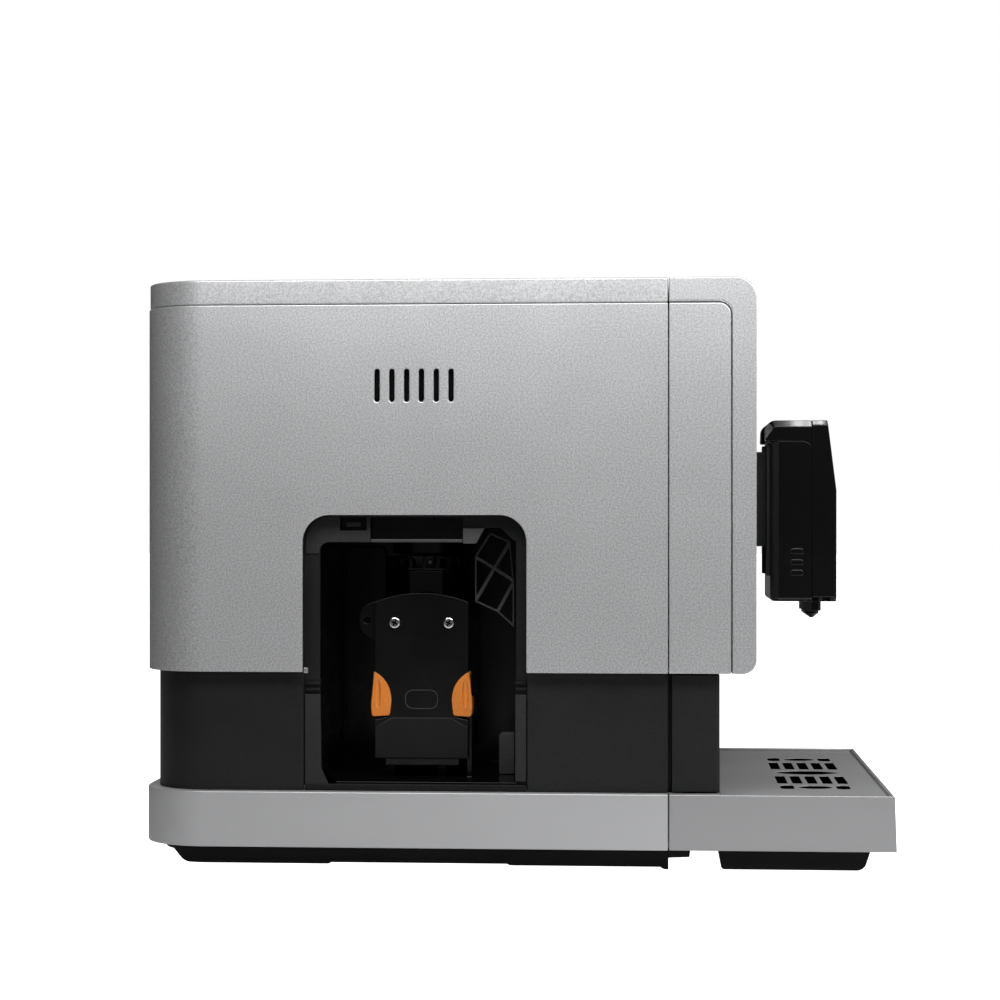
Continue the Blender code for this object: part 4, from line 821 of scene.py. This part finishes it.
def addGrate():
    middle, rim = trayLow.y + holes["middle"], holes["rim"]
    low, high = grateLow.z - past, grateHigh.z + past
    corners = rectangleCorners(grateLow.xy, grateHigh.xy, 0.001)
    plate = outlineBm("z", corners, grateLow.z, grateHigh.z, 3)
    tools = [lensBm((0.0, middle), *holes["lens"], low, high)]
    for side in (-1, 1):
        for i in range(holes["count"]):
            centre = (side * holes["across"], middle + (i - holes["count"] // 2) * holes["pitch"])
            tools.append(slotBm("z", centre, *holes["slot"], low, high, holes["slotCorner"], 4))
        tools.append(lensBm((side * holes["end"], middle), *holes["endLens"], low, high))
        for away in (-holes["away"], holes["away"]):
            centre = (side * holes["end"], middle + away)
            tools.append(slotBm("z", centre, *holes["oval"], low, high, holes["ovalCorner"], 6))
    plate = carve(plate, joinBm(*tools))
    under = blockBm(
        (grateLow.x + rim, grateLow.y + rim, low),
        (grateHigh.x - rim, grateHigh.y - rim, grateHigh.z - holes["sheet"]),
    )
    addPiece("grate", carve(plate, under), "grate_plate", "traySilver", ["grate"], 0.0002)


grounds = {
    "step": 0.0023, "slim": 0.0080, "wall": 0.0025, "corner": 0.0025, "rear": 0.004, "inner": 0.003,
    "gateFront": 0.036, "gateRear": 0.026, "gateLow": 0.085, "edge": 0.0005,
}


def addGrounds():
    low, high, wall, corner = groundsLow, groundsHigh, grounds["wall"], grounds["corner"]
    step, slim = bandLow.y - grounds["step"], high.x - grounds["slim"]
    outline = [
        (low.x, low.y, corner), (high.x, low.y, corner), (high.x, step), (slim, step),
        (slim, high.y, grounds["rear"]), (-slim, high.y, grounds["rear"]), (-slim, step), (low.x, step),
    ]
    body = outlineBm("z", outline, low.z, high.z, 8)
    first, last = (-slim + wall, low.y + wall), (slim - wall, high.y - wall)
    inside = rectangleCorners(first, last, grounds["inner"])
    body = carve(body, outlineBm("z", inside, low.z + wall, high.z + past, 5))
    cylinderLow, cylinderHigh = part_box("brew_cylinder")
    middle = (cylinderLow.x + cylinderHigh.x) / 2
    gate = blockBm(
        (middle - grounds["gateFront"], high.y - 2 * past, grounds["gateLow"]),
        (middle + grounds["gateRear"], high.y + past, high.z + past),
    )
    body = carve(body, gate)
    name = "groundsContainer"
    addPiece(name, body, "drawer", "satinBlack", ["grounds_container"], grounds["edge"], 3)


addTray()
addTrayFoot()
addGrate()
addGrounds()
print("tray done")

# service opening and brew bay
linerLow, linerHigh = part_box("bay_liner")
jamb = {
    "rear": 0.0091, "front": 0.0066, "top": 0.0163, "wall": 0.0025, "corner": 0.005, "shoulder": 0.1255,
    "arch": (
        (0.0, 0.0010), (0.0015, 0.0015), (0.0095, 0.0090), (0.0185, 0.0088),
        (0.0238, -0.0006), (0.0316, -0.0006), (0.0316, 0.0),
    ),
    "recess": (0.0316, 0.0020, 0.0396, 0.0010), "window": (0.0372, 0.0090, 0.0213, 0.0012),
}
flangeX = linerLow.x - gap - jamb["wall"]
front, rear, top = opening["front"], opening["rear"], opening["top"]


def addDoorFrame():
    first, last, under = front + jamb["front"], rear - jamb["rear"], top - jamb["top"]
    foot, shoulder, steps = frameLow.z, jamb["shoulder"], opening["steps"]
    rim = outlineBm("x", archCorners(frameLap, foot), flangeX, flangeX + jamb["wall"], steps)
    hole = [(first, foot - past), *[(first + across, under + up) for across, up in jamb["arch"]]]
    hole += [(last, under, jamb["corner"]), (last, foot - past)]
    rim = carve(rim, outlineBm("x", hole, flangeX - past, flangeX + past, 6))
    start, rise, end, drop = jamb["recess"]
    recess = blockBm(
        (flangeX - past, first + start, under + rise), (flangeX + past, rear - end, top - drop)
    )
    start, low, end, drop = jamb["window"]
    window = blockBm((flangeX - past, rear - start, top - low), (flangeX + past, rear - end, top - drop))
    rim = carve(rim, joinBm(recess, window))
    ring = outlineBm("x", archCorners(frameLap, shoulder), frameLow.x, flangeX + 0.001, steps)
    core = archCorners(0.0, shoulder - past)
    ring = carve(ring, outlineBm("x", core, frameLow.x - past, flangeX + past, steps))
    body = carve(rim, ring, operation="UNION")
    addPiece("doorFrame", body, "machine", "frameBlack", ["door_frame"], 0.0004)


hingeBar = {"proud": 0.0016, "sunk": 0.0005, "tall": 0.0016, "pitch": 0.0036}


def addJambs():
    # the raised blocks, catch bar and lower jamb pieces round the opening
    catch = blockBm(
        (flangeX + 0.0004, rear - 0.0335, top - 0.0068), (flangeX + 0.0020, rear - 0.0250, top - 0.0040)
    )
    addPiece("doorCatch", catch, "machine", "blockGrey", (), 0.0004)
    lowerRear = outlineBm("x", [
        (rear - 0.0003, frameLow.z), (rear - 0.0003, 0.1033), (rear - 0.0095, 0.1033, 0.0008),
        (rear - 0.0101, 0.0609), (rear - 0.0155, 0.0490), (rear - 0.0160, frameLow.z),
    ], flangeX - 0.0022, flangeX + 0.0010)
    addPiece("lowerRearJamb", lowerRear, "machine", "blockGrey", (), 0.0004)
    lowerFront = outlineBm("x", [
        (front + 0.0003, frameLow.z + 0.003), (front + 0.0003, 0.1036), (front + 0.0070, 0.1036, 0.0008),
        (front + 0.0070, frameLow.z + 0.003),
    ], flangeX - 0.0022, flangeX + 0.0010)
    addPiece("lowerFrontJamb", lowerFront, "machine", "blockGrey", (), 0.0004)
    for name, start, end, z in (
        ("rearHingeBar", rear - 0.0095, rear - 0.0004, 0.1055),
        ("frontHingeBar", front + 0.0004, front + 0.0068, 0.1062),
    ):
        bars = []
        for low in (z, z + hingeBar["pitch"]):
            first = (flangeX - hingeBar["proud"], start, low)
            bars.append(blockBm(first, (flangeX + hingeBar["sunk"], end, low + hingeBar["tall"])))
        addPiece(name, joinBm(*bars), "machine", "frameBlack", (), 0.0003)


def addThreshold():
    # a black sill over the floor's edge, the lintel behind the catch and the panel's small clip
    sill = blockBm(
        (flangeX - 0.0030, front + 0.0004, frameLow.z - 0.0026),
        (flangeX - 0.0003, rear - 0.0004, frameLow.z + 0.0010),
    )
    addPiece("baySill", sill, "machine", "frameBlack", (), 0.0004)
    lintel = blockBm(
        (flangeX + 0.0045, front + 0.0310, top - 0.0145), (flangeX + 0.0060, rear - 0.0180, top - 0.0006)
    )
    addPiece("bayLintel", lintel, "machine", "brewBlack", (), 0.0003)
    lip = blockBm(
        (flangeX - 0.0004, front + 0.0384, top - 0.0162), (flangeX + 0.0030, rear - 0.0398, top - 0.0143)
    )
    addPiece("bayLintelLip", lip, "machine", "frameGrey", (), 0.0004)
    rearBlock = outlineBm("x", [
        (rear - 0.0394, top - 0.0161), (rear - 0.0394, top - 0.0002), (rear - 0.0372, top - 0.0002),
        (rear - 0.0372, top - 0.0092), (rear - 0.0213, top - 0.0092), (rear - 0.0213, top - 0.0002),
        (rear - 0.0004, top - 0.0002, 0.0155), (rear - 0.0004, top - 0.0230),
        (rear - 0.0089, top - 0.0230), (rear - 0.0093, top - 0.0161, 0.005),
    ], flangeX - 0.0008, flangeX + 0.0006, 14)
    addPiece("rearLintelBlock", rearBlock, "machine", "blockGrey", (), 0.0004)
    frontBlock = outlineBm("x", [
        (front + 0.0382, top - 0.0170), (front + 0.0304, top - 0.0170),
        (front + 0.0252, top - 0.0078), (front + 0.0382, top - 0.0076),
    ], flangeX - 0.0010, flangeX + 0.0006)
    addPiece("frontLintelBlock", frontBlock, "machine", "frameGrey", (), 0.0004)
    clip = blockBm(
        (leftLow.x + 0.0006, rear - 0.0032, leftLow.z - 0.0006),
        (leftLow.x + 0.0024, rear - 0.0006, leftLow.z + 0.0026),
    )
    addPiece("panelClip", clip, "machine", "plainSteel", (), 0.0003)


liner = {
    "wall": 0.0018, "mouthFront": 0.035, "mouthRear": 0.025, "mouthLow": 0.02, "mouthTop": 0.135,
    "mouthCorner": 0.029, "boreZ": 0.095, "bore": 0.007, "railSpread": 0.016, "railHalf": 0.003,
    "sunk": 0.0005, "guideTop": 0.1135,
}


def addLiner():
    low, high, wall, sunk = linerLow, linerHigh, liner["wall"], liner["sunk"]
    floor = low.z + wall
    hollow = blockBm((low.x - past, low.y + wall, floor), (high.x - wall, high.y - wall, high.z - wall))
    body = carve(blockBm(low, high), hollow)
    cylinderLow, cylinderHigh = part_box("brew_cylinder")
    middle = (cylinderLow.x + cylinderHigh.x) / 2
    start, end, corner = middle - liner["mouthFront"], middle + liner["mouthRear"], liner["mouthCorner"]
    mouth = [
        (start, floor + liner["mouthLow"]), (start, liner["mouthTop"], corner),
        (end, liner["mouthTop"], corner), (end, floor + liner["mouthLow"]),
    ]
    housingLow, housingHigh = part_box("brew_housing")
    across = (housingLow.y + housingHigh.y) / 2
    mouth = outlineBm("y", mouth, low.y - past, low.y + past, 10)
    bore = discBm("x", (across, liner["boreZ"]), liner["bore"], high.x - past, high.x + past)
    body = carve(body, mouth, bore)
    half = liner["railHalf"]
    rails = [
        blockBm(
            (housingLow.x + 0.020, y - half, floor - sunk),
            (high.x - 0.010, y + half, housingLow.z - gap),
        )
        for y in (across - liner["railSpread"], across + liner["railSpread"])
    ]
    guide = blockBm(
        (housingLow.x + 0.001, across - 0.0360, floor - sunk),
        (housingLow.x + 0.013, across - 0.0328, liner["guideTop"]),
    )
    body = carve(body, joinBm(*rails, guide), operation="UNION")
    addPiece("bayLiner", body, "machine", "brewBlack", ["bay_liner"], 0.0004)


def addBayDetails():
    # what shows dimly inside: a wall panel and a drip block
    high = linerHigh
    panel = outlineBm("x", [
        (high.y - 0.0035, 0.190), (high.y - 0.0035, 0.066), (high.y - 0.0130, 0.0505),
        (high.y - 0.030, 0.0505), (high.y - 0.030, 0.190, 0.004),
    ], high.x - 0.0060, high.x - 0.0022)
    addPiece("bayWallPanel", panel, "machine", "brewBlack", (), 0.0008)
    corners = [(0.0019, 0.0512), (0.0019, 0.0766, 0.001), (0.0115, 0.0766, 0.0025), (0.0115, 0.0512)]
    block = outlineBm("x", corners, -0.084, -0.076)
    addPiece("bayDripBlock", block, "machine", "frameGrey", (), 0.0005)


lattice = {
    "start": 0.0083, "end": 0.0010, "rib": 0.0011, "cells": ("abdc", "bed", "defg", "cdg", "gfh"),
    "spots": {  # share of the way back, drop below the opening's top
        "a": (0.64, 0.0105), "b": (1.0, 0.0249), "c": (0.14, 0.0157), "d": (0.53, 0.0322),
        "e": (1.0, 0.0527), "f": (0.46, 0.0590), "g": (0.05, 0.0400), "h": (0.05, 0.0684),
    },
}


def addLattice():
    low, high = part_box("lattice_bracket")
    start = front + lattice["start"]
    reach = high.y - lattice["end"] - start
    bm = bmesh.new()
    verts = {
        key: bm.verts.new((start + reach * share, top - drop, low.x))
        for key, (share, drop) in lattice["spots"].items()
    }
    for cell in lattice["cells"]:
        bm.faces.new([verts[key] for key in cell])
    bmesh.ops.recalc_face_normals(bm, faces=bm.faces)
    inset = bmesh.ops.inset_individual(
        bm, faces=bm.faces[:], thickness=lattice["rib"], use_even_offset=True
    )
    ribs = set(inset["faces"])
    bmesh.ops.delete(bm, geom=[face for face in bm.faces if face not in ribs], context="FACES_ONLY")
    raiseFaces(bm, high.x - low.x)
    place(bm, "x")
    addPiece("latticeBracket", bm, "machine", "frameGrey", ["lattice_bracket"], 0.0004)


addDoorFrame()
addJambs()
addThreshold()
addLiner()
addBayDetails()
addLattice()
print("service bay done")

# brew unit
plateLow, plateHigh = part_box("brew_plate")
housingLow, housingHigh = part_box("brew_housing")
plateMiddle = (plateLow.y + plateHigh.y) / 2
plateHalf = (plateHigh.y - plateLow.y) / 2
brew = {
    "crownRise": 0.0055, "latchLow": 0.0880, "latchHigh": 0.1150, "edge": 0.0005, "markZ": 0.0983,
    "scoop": (0.0020, 0.0022, 0.0098), "wall": 0.0022, "ribs": (0.020, 0.032, 0.044, 0.056, 0.068),
}


def padCorners(side):
    # the bay that a finger pad sits in, from its top tip round to its foot
    high, low, half = brew["latchHigh"], brew["latchLow"], plateHalf
    run = [
        (half + 0.0020, high + 0.0010, 0.0), (half - 0.0040, high - 0.0022, 0.003),
        (half - 0.0088, high - 0.0086, 0.003), (half - 0.0105, high - 0.0160, 0.003),
        (half - 0.0092, low - 0.0002, 0.0015), (half + 0.0020, low - 0.0028, 0.0),
    ]
    return [(plateMiddle + side * across, up, radius) for across, up, radius in run]


def addBrewPlate():
    corners = rectangleCorners((plateLow.y, plateLow.z), (plateHigh.y, plateHigh.z))
    plate = outlineBm("x", corners, plateLow.x, plateHigh.x)
    rise = brew["crownRise"]
    radius = (plateHalf * plateHalf + rise * rise) / (2 * rise)
    low, high = plateLow.x - past, plateHigh.x + past
    crown = discBm("x", (plateMiddle, plateHigh.z - radius), radius, low, high, 360)
    plate = carve(plate, crown, operation="INTERSECT")
    bays = [outlineBm("x", padCorners(side), low, high, 5) for side in (-1, 1)]
    plate = carve(plate, joinBm(*bays))
    addPiece("brewPlate", plate, "brew_unit", "brewBlack", ["brew_plate"], brew["edge"], 2)
    half, low = plateHalf - 0.0002, plateLow.z + 0.0002
    lower = outlineBm("x", [
        (plateMiddle - half, low), (plateMiddle + half, low), (plateMiddle + half, 0.0815),
        (plateMiddle + half - 0.0105, 0.0875), (plateMiddle - half + 0.0105, 0.0875),
        (plateMiddle - half, 0.0815),
    ], plateLow.x - 0.0014, plateLow.x + 0.0004)
    addPiece("brewPlateFoot", lower, "brew_unit", "frameBlack", (), 0.0009, 3)
    # the mark's raised ring is real, but its lighter grey than the plate is a painted highlight along its
    # edge
    centre, x = (plateMiddle, brew["markZ"]), plateLow.x
    ring = slotBm("x", centre, 0.0201, 0.0116, x - 0.00035, x + 0.0005, 0.0048, 10)
    core = slotBm("x", centre, 0.0192, 0.0107, x - past, x + past, 0.0044, 10)
    addPiece("brewPlateMarkPaintedHighlight", carve(ring, core), "brew_unit", "frameGrey", (), 0.00012)


def addHousing():
    half = plateHalf - 0.0008
    start, end = housingLow.x, housingHigh.x
    low, high = plateLow.z, housingHigh.z
    wall, inner = brew["wall"], half - brew["wall"]
    body = blockBm((start, plateMiddle - half, low), (end, plateMiddle + half, high))
    body = carve(body, blockBm(
        (start + 0.0125, plateMiddle - inner, low + wall), (end - wall, plateMiddle + inner, high + past)
    ))
    pockets = []
    for side in (-1, 1):
        reach = sorted((side * (half - 0.0185), side * (half + 0.005)))
        pockets.append(blockBm(
            (start - past, plateMiddle + reach[0], brew["latchLow"] - 0.003),
            (start + 0.0116, plateMiddle + reach[1], brew["latchHigh"] + 0.0012),
        ))
    body = carve(body, joinBm(*pockets))
    ear = [
        (plateMiddle + half - 0.001, 0.1330), (plateMiddle + half + 0.0110, 0.1385, 0.006),
        (plateMiddle + half + 0.0110, 0.1540, 0.006), (plateMiddle + half - 0.001, 0.1585),
    ]
    ear = outlineBm("x", ear, start + 0.003, start + 0.0055, 8)
    centre = (plateMiddle + half + 0.0062, 0.1462)
    ear = carve(ear, discBm("x", centre, 0.0022, start - past, start + 2 * past, 32))
    tab = blockBm(
        (start + 0.0010, plateMiddle - 0.0225, housingLow.z),
        (end - 0.002, plateMiddle + 0.0225, low + 0.001),
    )
    ribs = []
    for y in (plateMiddle - half, plateMiddle + half):
        for x in brew["ribs"]:
            first = (start + x, y - 0.0006, low + 0.004)
            ribs.append(blockBm(first, (start + x + 0.0014, y + 0.0006, brew["latchLow"] - 0.006)))
    body = carve(body, joinBm(ear, tab, *ribs), operation="UNION")
    body = carve(body, discBm("x", (plateMiddle, 0.095), 0.0066, end - 0.006, end + past, 32))
    addPiece("brewHousing", body, "brew_unit", "brewBlack", ["brew_housing"], 0.0004)


screwSet = {"angles": (25, 115), "long": 0.56, "thin": 0.17, "slack": 0.0001}


def screwArms(y, z, radius, low, high):
    arms = []
    across, up = radius * screwSet["long"], radius * screwSet["thin"]
    for angle in screwSet["angles"]:
        arm = blockBm((low, -across, -up), (high, across, up))
        turn = Matrix.Translation((0, y, z)) @ Matrix.Rotation(math.radians(angle), 4, "X")
        bmesh.ops.transform(arm, matrix=turn, verts=arm.verts)
        arms.append(arm)
    return arms


def addScrews():
    for name, node in (("plateScrewFront", "brew_screw_1"), ("plateScrewRear", "brew_screw_2")):
        low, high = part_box(node)
        y, z, radius = (low.y + high.y) / 2, (low.z + high.z) / 2, (high.y - low.y) / 2
        head = discBm("x", (y, z), radius, low.x, high.x, 40)
        roundEdges(head, lambda a, b: max(a.x, b.x) < low.x + near, (high.x - low.x) * 0.55, 4)
        head = carve(head, *screwArms(y, z, radius, low.x - 0.001, low.x + 0.0012))
        addPiece(name, head, "brew_unit", "screwChrome", [node], 0.0, 2, 30)
        # a black fill in the floor of each screw's cross recess: painted shade where the hollow lies in
        # shadow
        upright, level = screwArms(y, z, radius - screwSet["slack"], low.x + 0.0005, low.x + 0.0011)
        recess = carve(upright, level, operation="UNION")
        addPiece(name + "RecessPaintedShade", recess, "brew_unit", "brewBlack", (), 0.0)


def addPads():
    for name, node, body, side in (
        ("fingerPadFront", "latch_front", "front_latch", -1),
        ("fingerPadRear", "latch_rear", "rear_latch", 1),
    ):
        low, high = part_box(node)
        half, foot, top = plateHalf, brew["latchLow"], brew["latchHigh"]
        inner = [
            (half + 0.0004, top + 0.0002, 0.0008), (half - 0.0042, top - 0.0022, 0.003),
            (half - 0.0090, top - 0.0086, 0.003),
            (half - 0.0107, top - 0.0160, 0.003), (half - 0.0095, foot + 0.0003, 0.0016),
            (half + 0.0016, foot - 0.0004, 0.0014), (half + 0.0024, foot + 0.0060, 0.003),
            (half + 0.0014, foot + 0.0150, 0.004), (half + 0.0008, top - 0.0040, 0.003),
        ]
        outline = [(plateMiddle + side * across, up, radius) for across, up, radius in inner]
        pad = outlineBm("x", outline, plateLow.x + 0.0002, high.x, 6)
        roundEdges(pad, lambda a, b: max(a.x, b.x) < plateLow.x + 0.0003, 0.0006, 3)
        centre = (plateLow.x - 0.0006, plateMiddle + side * (half - 0.0020), (foot + top) / 2)
        pad = carve(pad, ballBm(centre, brew["scoop"], 48, 24))
        addPiece(name, pad, body, "orangePlastic", [node], 0.0, 2, 50)


chamber = {"radius": 0.0270, "cells": 20, "crown": (0.0012, 0.0026)}


def addChamber():
    low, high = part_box("brew_cylinder")
    centre = ((low.x + high.x) / 2, (low.y + high.y) / 2)
    radius, top, flange = chamber["radius"], high.z, housingHigh.z + gap
    profile = [
        (radius, top), (radius, top - 0.0085), (radius - 0.0012, top - 0.0095), (radius - 0.0012, flange),
        (0.0235, flange), (0.0235, low.z), (0.0200, low.z), (0.0200, top),
    ]
    body = turnedBm(centre, profile, 96)
    cuts = []
    count = chamber["cells"]
    for i in range(count):
        cell = blockBm((radius - 0.0022, -0.0028, top - 0.0072), (radius + past, 0.0028, top - 0.0014))
        turn = Matrix.Translation((*centre, 0)) @ Matrix.Rotation(math.tau * (i + 0.5) / count, 4, "Z")
        bmesh.ops.transform(cell, matrix=turn, verts=cell.verts)
        cuts.append(cell)
    body = carve(body, joinBm(*cuts))
    for vert in body.verts:  # the ring's rim is crowned towards the service side
        away = abs(vert.co.y - centre[1]) / radius
        if vert.co.z > top - 0.0100:
            drop = chamber["crown"][0 if vert.co.z > top - 0.0005 else 1]
            vert.co.z -= drop * away * away
    spot = (centre[0] - radius + 0.0014, centre[1] - 0.0035, top - 0.0040)
    ball = ballBm(spot, (0.0012, 0.0012, 0.0012), 24, 12)
    addPiece("cylinderBall", ball, "brew_unit", "greyPlastic", (), 0.0)
    name = "brewCylinder"
    addPiece(name, body, "brew_unit", "glossBlack", ["brew_cylinder"], 0.0003)
    low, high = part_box("brew_piston")
    radius = (high.x - low.x) / 2
    piston = discBm("z", centre, radius, low.z, high.z, 64)
    core = discBm("z", centre, radius - 0.0008, high.z - 2 * past, high.z + past)
    seals = carve(discBm("z", centre, 0.03, high.z - 0.006, high.z - 0.0045), core)
    addPiece("brewPiston", carve(piston, seals), "piston", "greyPlastic", ["brew_piston"], 0.0003)
    low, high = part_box("brew_head")
    head = discBm("z", centre, (high.x - low.x) / 2, low.z, high.z, 64)
    addPiece("brewHead", head, "machine", "brewBlack", ["brew_head"], 0.0006)


addBrewPlate()
addHousing()
addScrews()
addPads()
addChamber()
print("brew unit done")

# spout
bodyLow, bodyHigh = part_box("spout_body")
capLow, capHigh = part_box("spout_cap")
noseLow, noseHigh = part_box("spout_front")
railLow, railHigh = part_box("spout_rail")
spout = {
    "corner": 0.0060, "topEdge": 0.0040, "bottomEdge": 0.0026, "wall": 0.0025, "frontEdge": 0.0055,
    "ribs": (0.1741, 0.1807, 0.1876), "rib": (0.0086, 0.0042), "proud": 0.0009, "noseEdge": 0.0030,
}


def addSpoutRail():
    rail = blockBm(railLow, railHigh)
    grooves = [
        blockBm(
            (x - 0.002, railLow.y - past, railLow.z - past),
            (x + 0.002, railLow.y + 0.0016, railHigh.z + past),
        )
        for x in (-0.012, 0.012)
    ]
    rail = carve(rail, joinBm(*grooves))
    addPiece("spoutRail", rail, "machine", "satinBlack", ["spout_rail"], 0.0010, 3)


def addSpoutBody():
    body = blockBm(bodyLow, bodyHigh)
    foremost, rearmost = bodyLow.y + near, bodyHigh.y - near
    lowest, highest = bodyLow.z + near, bodyHigh.z - near
    roundEdges(body, lambda a, b: (
        max(a.y, b.y) < foremost and min(a.z, b.z) > highest
    ), spout["frontEdge"], 8)
    roundEdges(body, lambda a, b: (
        min(a.y, b.y) > rearmost and abs(a.x - b.x) < near
    ), spout["corner"], 8)
    roundEdges(body, lambda a, b: (
        max(a.z, b.z) < lowest and max(a.y, b.y) >= foremost
    ), spout["bottomEdge"], 4)
    wall = spout["wall"]
    first, last = (bodyLow.x + wall, bodyLow.y + wall), (bodyHigh.x - wall, bodyHigh.y - wall)
    inside = rectangleCorners(first, last, 0.003)
    body = carve(body, outlineBm("z", inside, bodyLow.z - past, bodyHigh.z - wall - 0.004, 5))
    ribs = []
    proud = spout["proud"]
    for x in (bodyLow.x, bodyHigh.x):
        for z in spout["ribs"]:
            centre = (bodyLow.y + 0.0095, z)
            ribs.append(slotBm("x", centre, *spout["rib"], x - proud, x + proud, 0.0018, 8))
    addPiece("spoutBody", body, "spout", "glossBlack", ["spout_body"], 0.0003, 3)
    addPiece("spoutGripRibs", joinBm(*ribs), "spout", "glossBlack", (), 0.0008, 4)
    strips = []
    for side in (-1, 1):
        low, high = sorted((side * 0.0252, side * 0.0340))
        first = (low, bodyHigh.y - 0.0004, 0.1720)
        strips.append(blockBm(first, (high, bodyHigh.y + 0.0020, bodyHigh.z - 0.001)))
    addPiece("spoutBackPlates", joinBm(*strips), "spout", "satinBlack", (), 0.0005)


def addSpoutCap():
    profile = [
        (capLow.y, capLow.z - 0.0056), (capLow.y + 0.0016, capLow.z - 0.0016, 0.0015),
        (capLow.y + 0.0060, capLow.z), (capHigh.y, capLow.z, 0.001),
        (capHigh.y, capHigh.z, 0.0065), (capLow.y, capHigh.z),
    ]
    cap = outlineBm("x", profile, capLow.x, capHigh.x, 10)
    notch = railHigh.x + 0.0005
    cap = carve(cap, blockBm(
        (-notch, bodyHigh.y + 0.0002, capLow.z - past), (notch, capHigh.y + past, capHigh.z + past)
    ))
    roundEdges(cap, lambda a, b: (
        onSides(a, b, capHigh.x) and min(a.z, b.z) > capHigh.z - 0.0066
    ), spout["topEdge"], 1)
    addPiece("spoutCap", cap, "spout", "glossBlack", ["spout_cap"], 0.0003, 2, 30)


def addSpoutFront():
    low, high = noseLow, noseHigh
    profile = [
        (high.y, low.z), (high.y, high.z), (low.y + 0.0055, high.z),
        (low.y, high.z - 0.044), (low.y, low.z),
    ]
    nose = outlineBm("x", profile, low.x, high.x)
    edge = spout["noseEdge"]
    roundEdges(nose, lambda a, b: onSides(a, b, high.x) and min(a.z, b.z) > high.z - near, edge, 1)
    roundEdges(nose, lambda a, b: onSides(a, b, high.x) and max(a.z, b.z) < low.z + near, edge, 1)
    addPiece("spoutFront", nose, "spout", "glossBlack", ["spout_front"], 0.0004, 2, 30)


def addNozzles():
    for name, node in (("nozzleLeft", "nozzle_left"), ("nozzleRight", "nozzle_right")):
        low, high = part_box(node)
        centre = ((low.x + high.x) / 2, (low.y + high.y) / 2)
        top = high.z
        collar = discBm("z", centre, 0.0061, top - 0.0063, top, 8)
        neck = discBm("z", centre, 0.0046, top - 0.0080, top - 0.0060, 32)
        tip = discBm("z", centre, 0.0009, low.z, top - 0.0078, 32, 0.0046)
        body = carve(collar, neck, operation="UNION")
        body = carve(body, tip, operation="UNION")
        body = carve(body, discBm("z", centre, 0.0005, low.z - past, low.z + 0.004, 24))
        addPiece(name, body, "spout", "glossBlack", [node], 0.0002, 2, 30)


addSpoutRail()
addSpoutBody()
addSpoutCap()
addSpoutFront()
addNozzles()
print("spout done")

# CAD nodes that stay, with their finishes
kept = {
    "plainSteel": ["floor_plate", "mid_shelf", "thermoblock", "grinder_motor", "burr"],
    "greyPlastic": ["brew_motor", "burr_housing", "pump"],
    "satinBlack": ["mains_inlet", "power_switch", "grind_dial", "tank_dock"],
    "smokedClear": ["bean_hopper", "water_tank"],
    "circuitBoard": ["control_board"],
    "hoseSilicone": ["brew_hose"],
}
for finishName, nodeNames in kept.items():
    for nodeName in nodeNames:
        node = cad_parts[nodeName]
        for slotOfNode in node.material_slots:
            slotOfNode.material = finishes[finishName]
print("kept nodes finished")
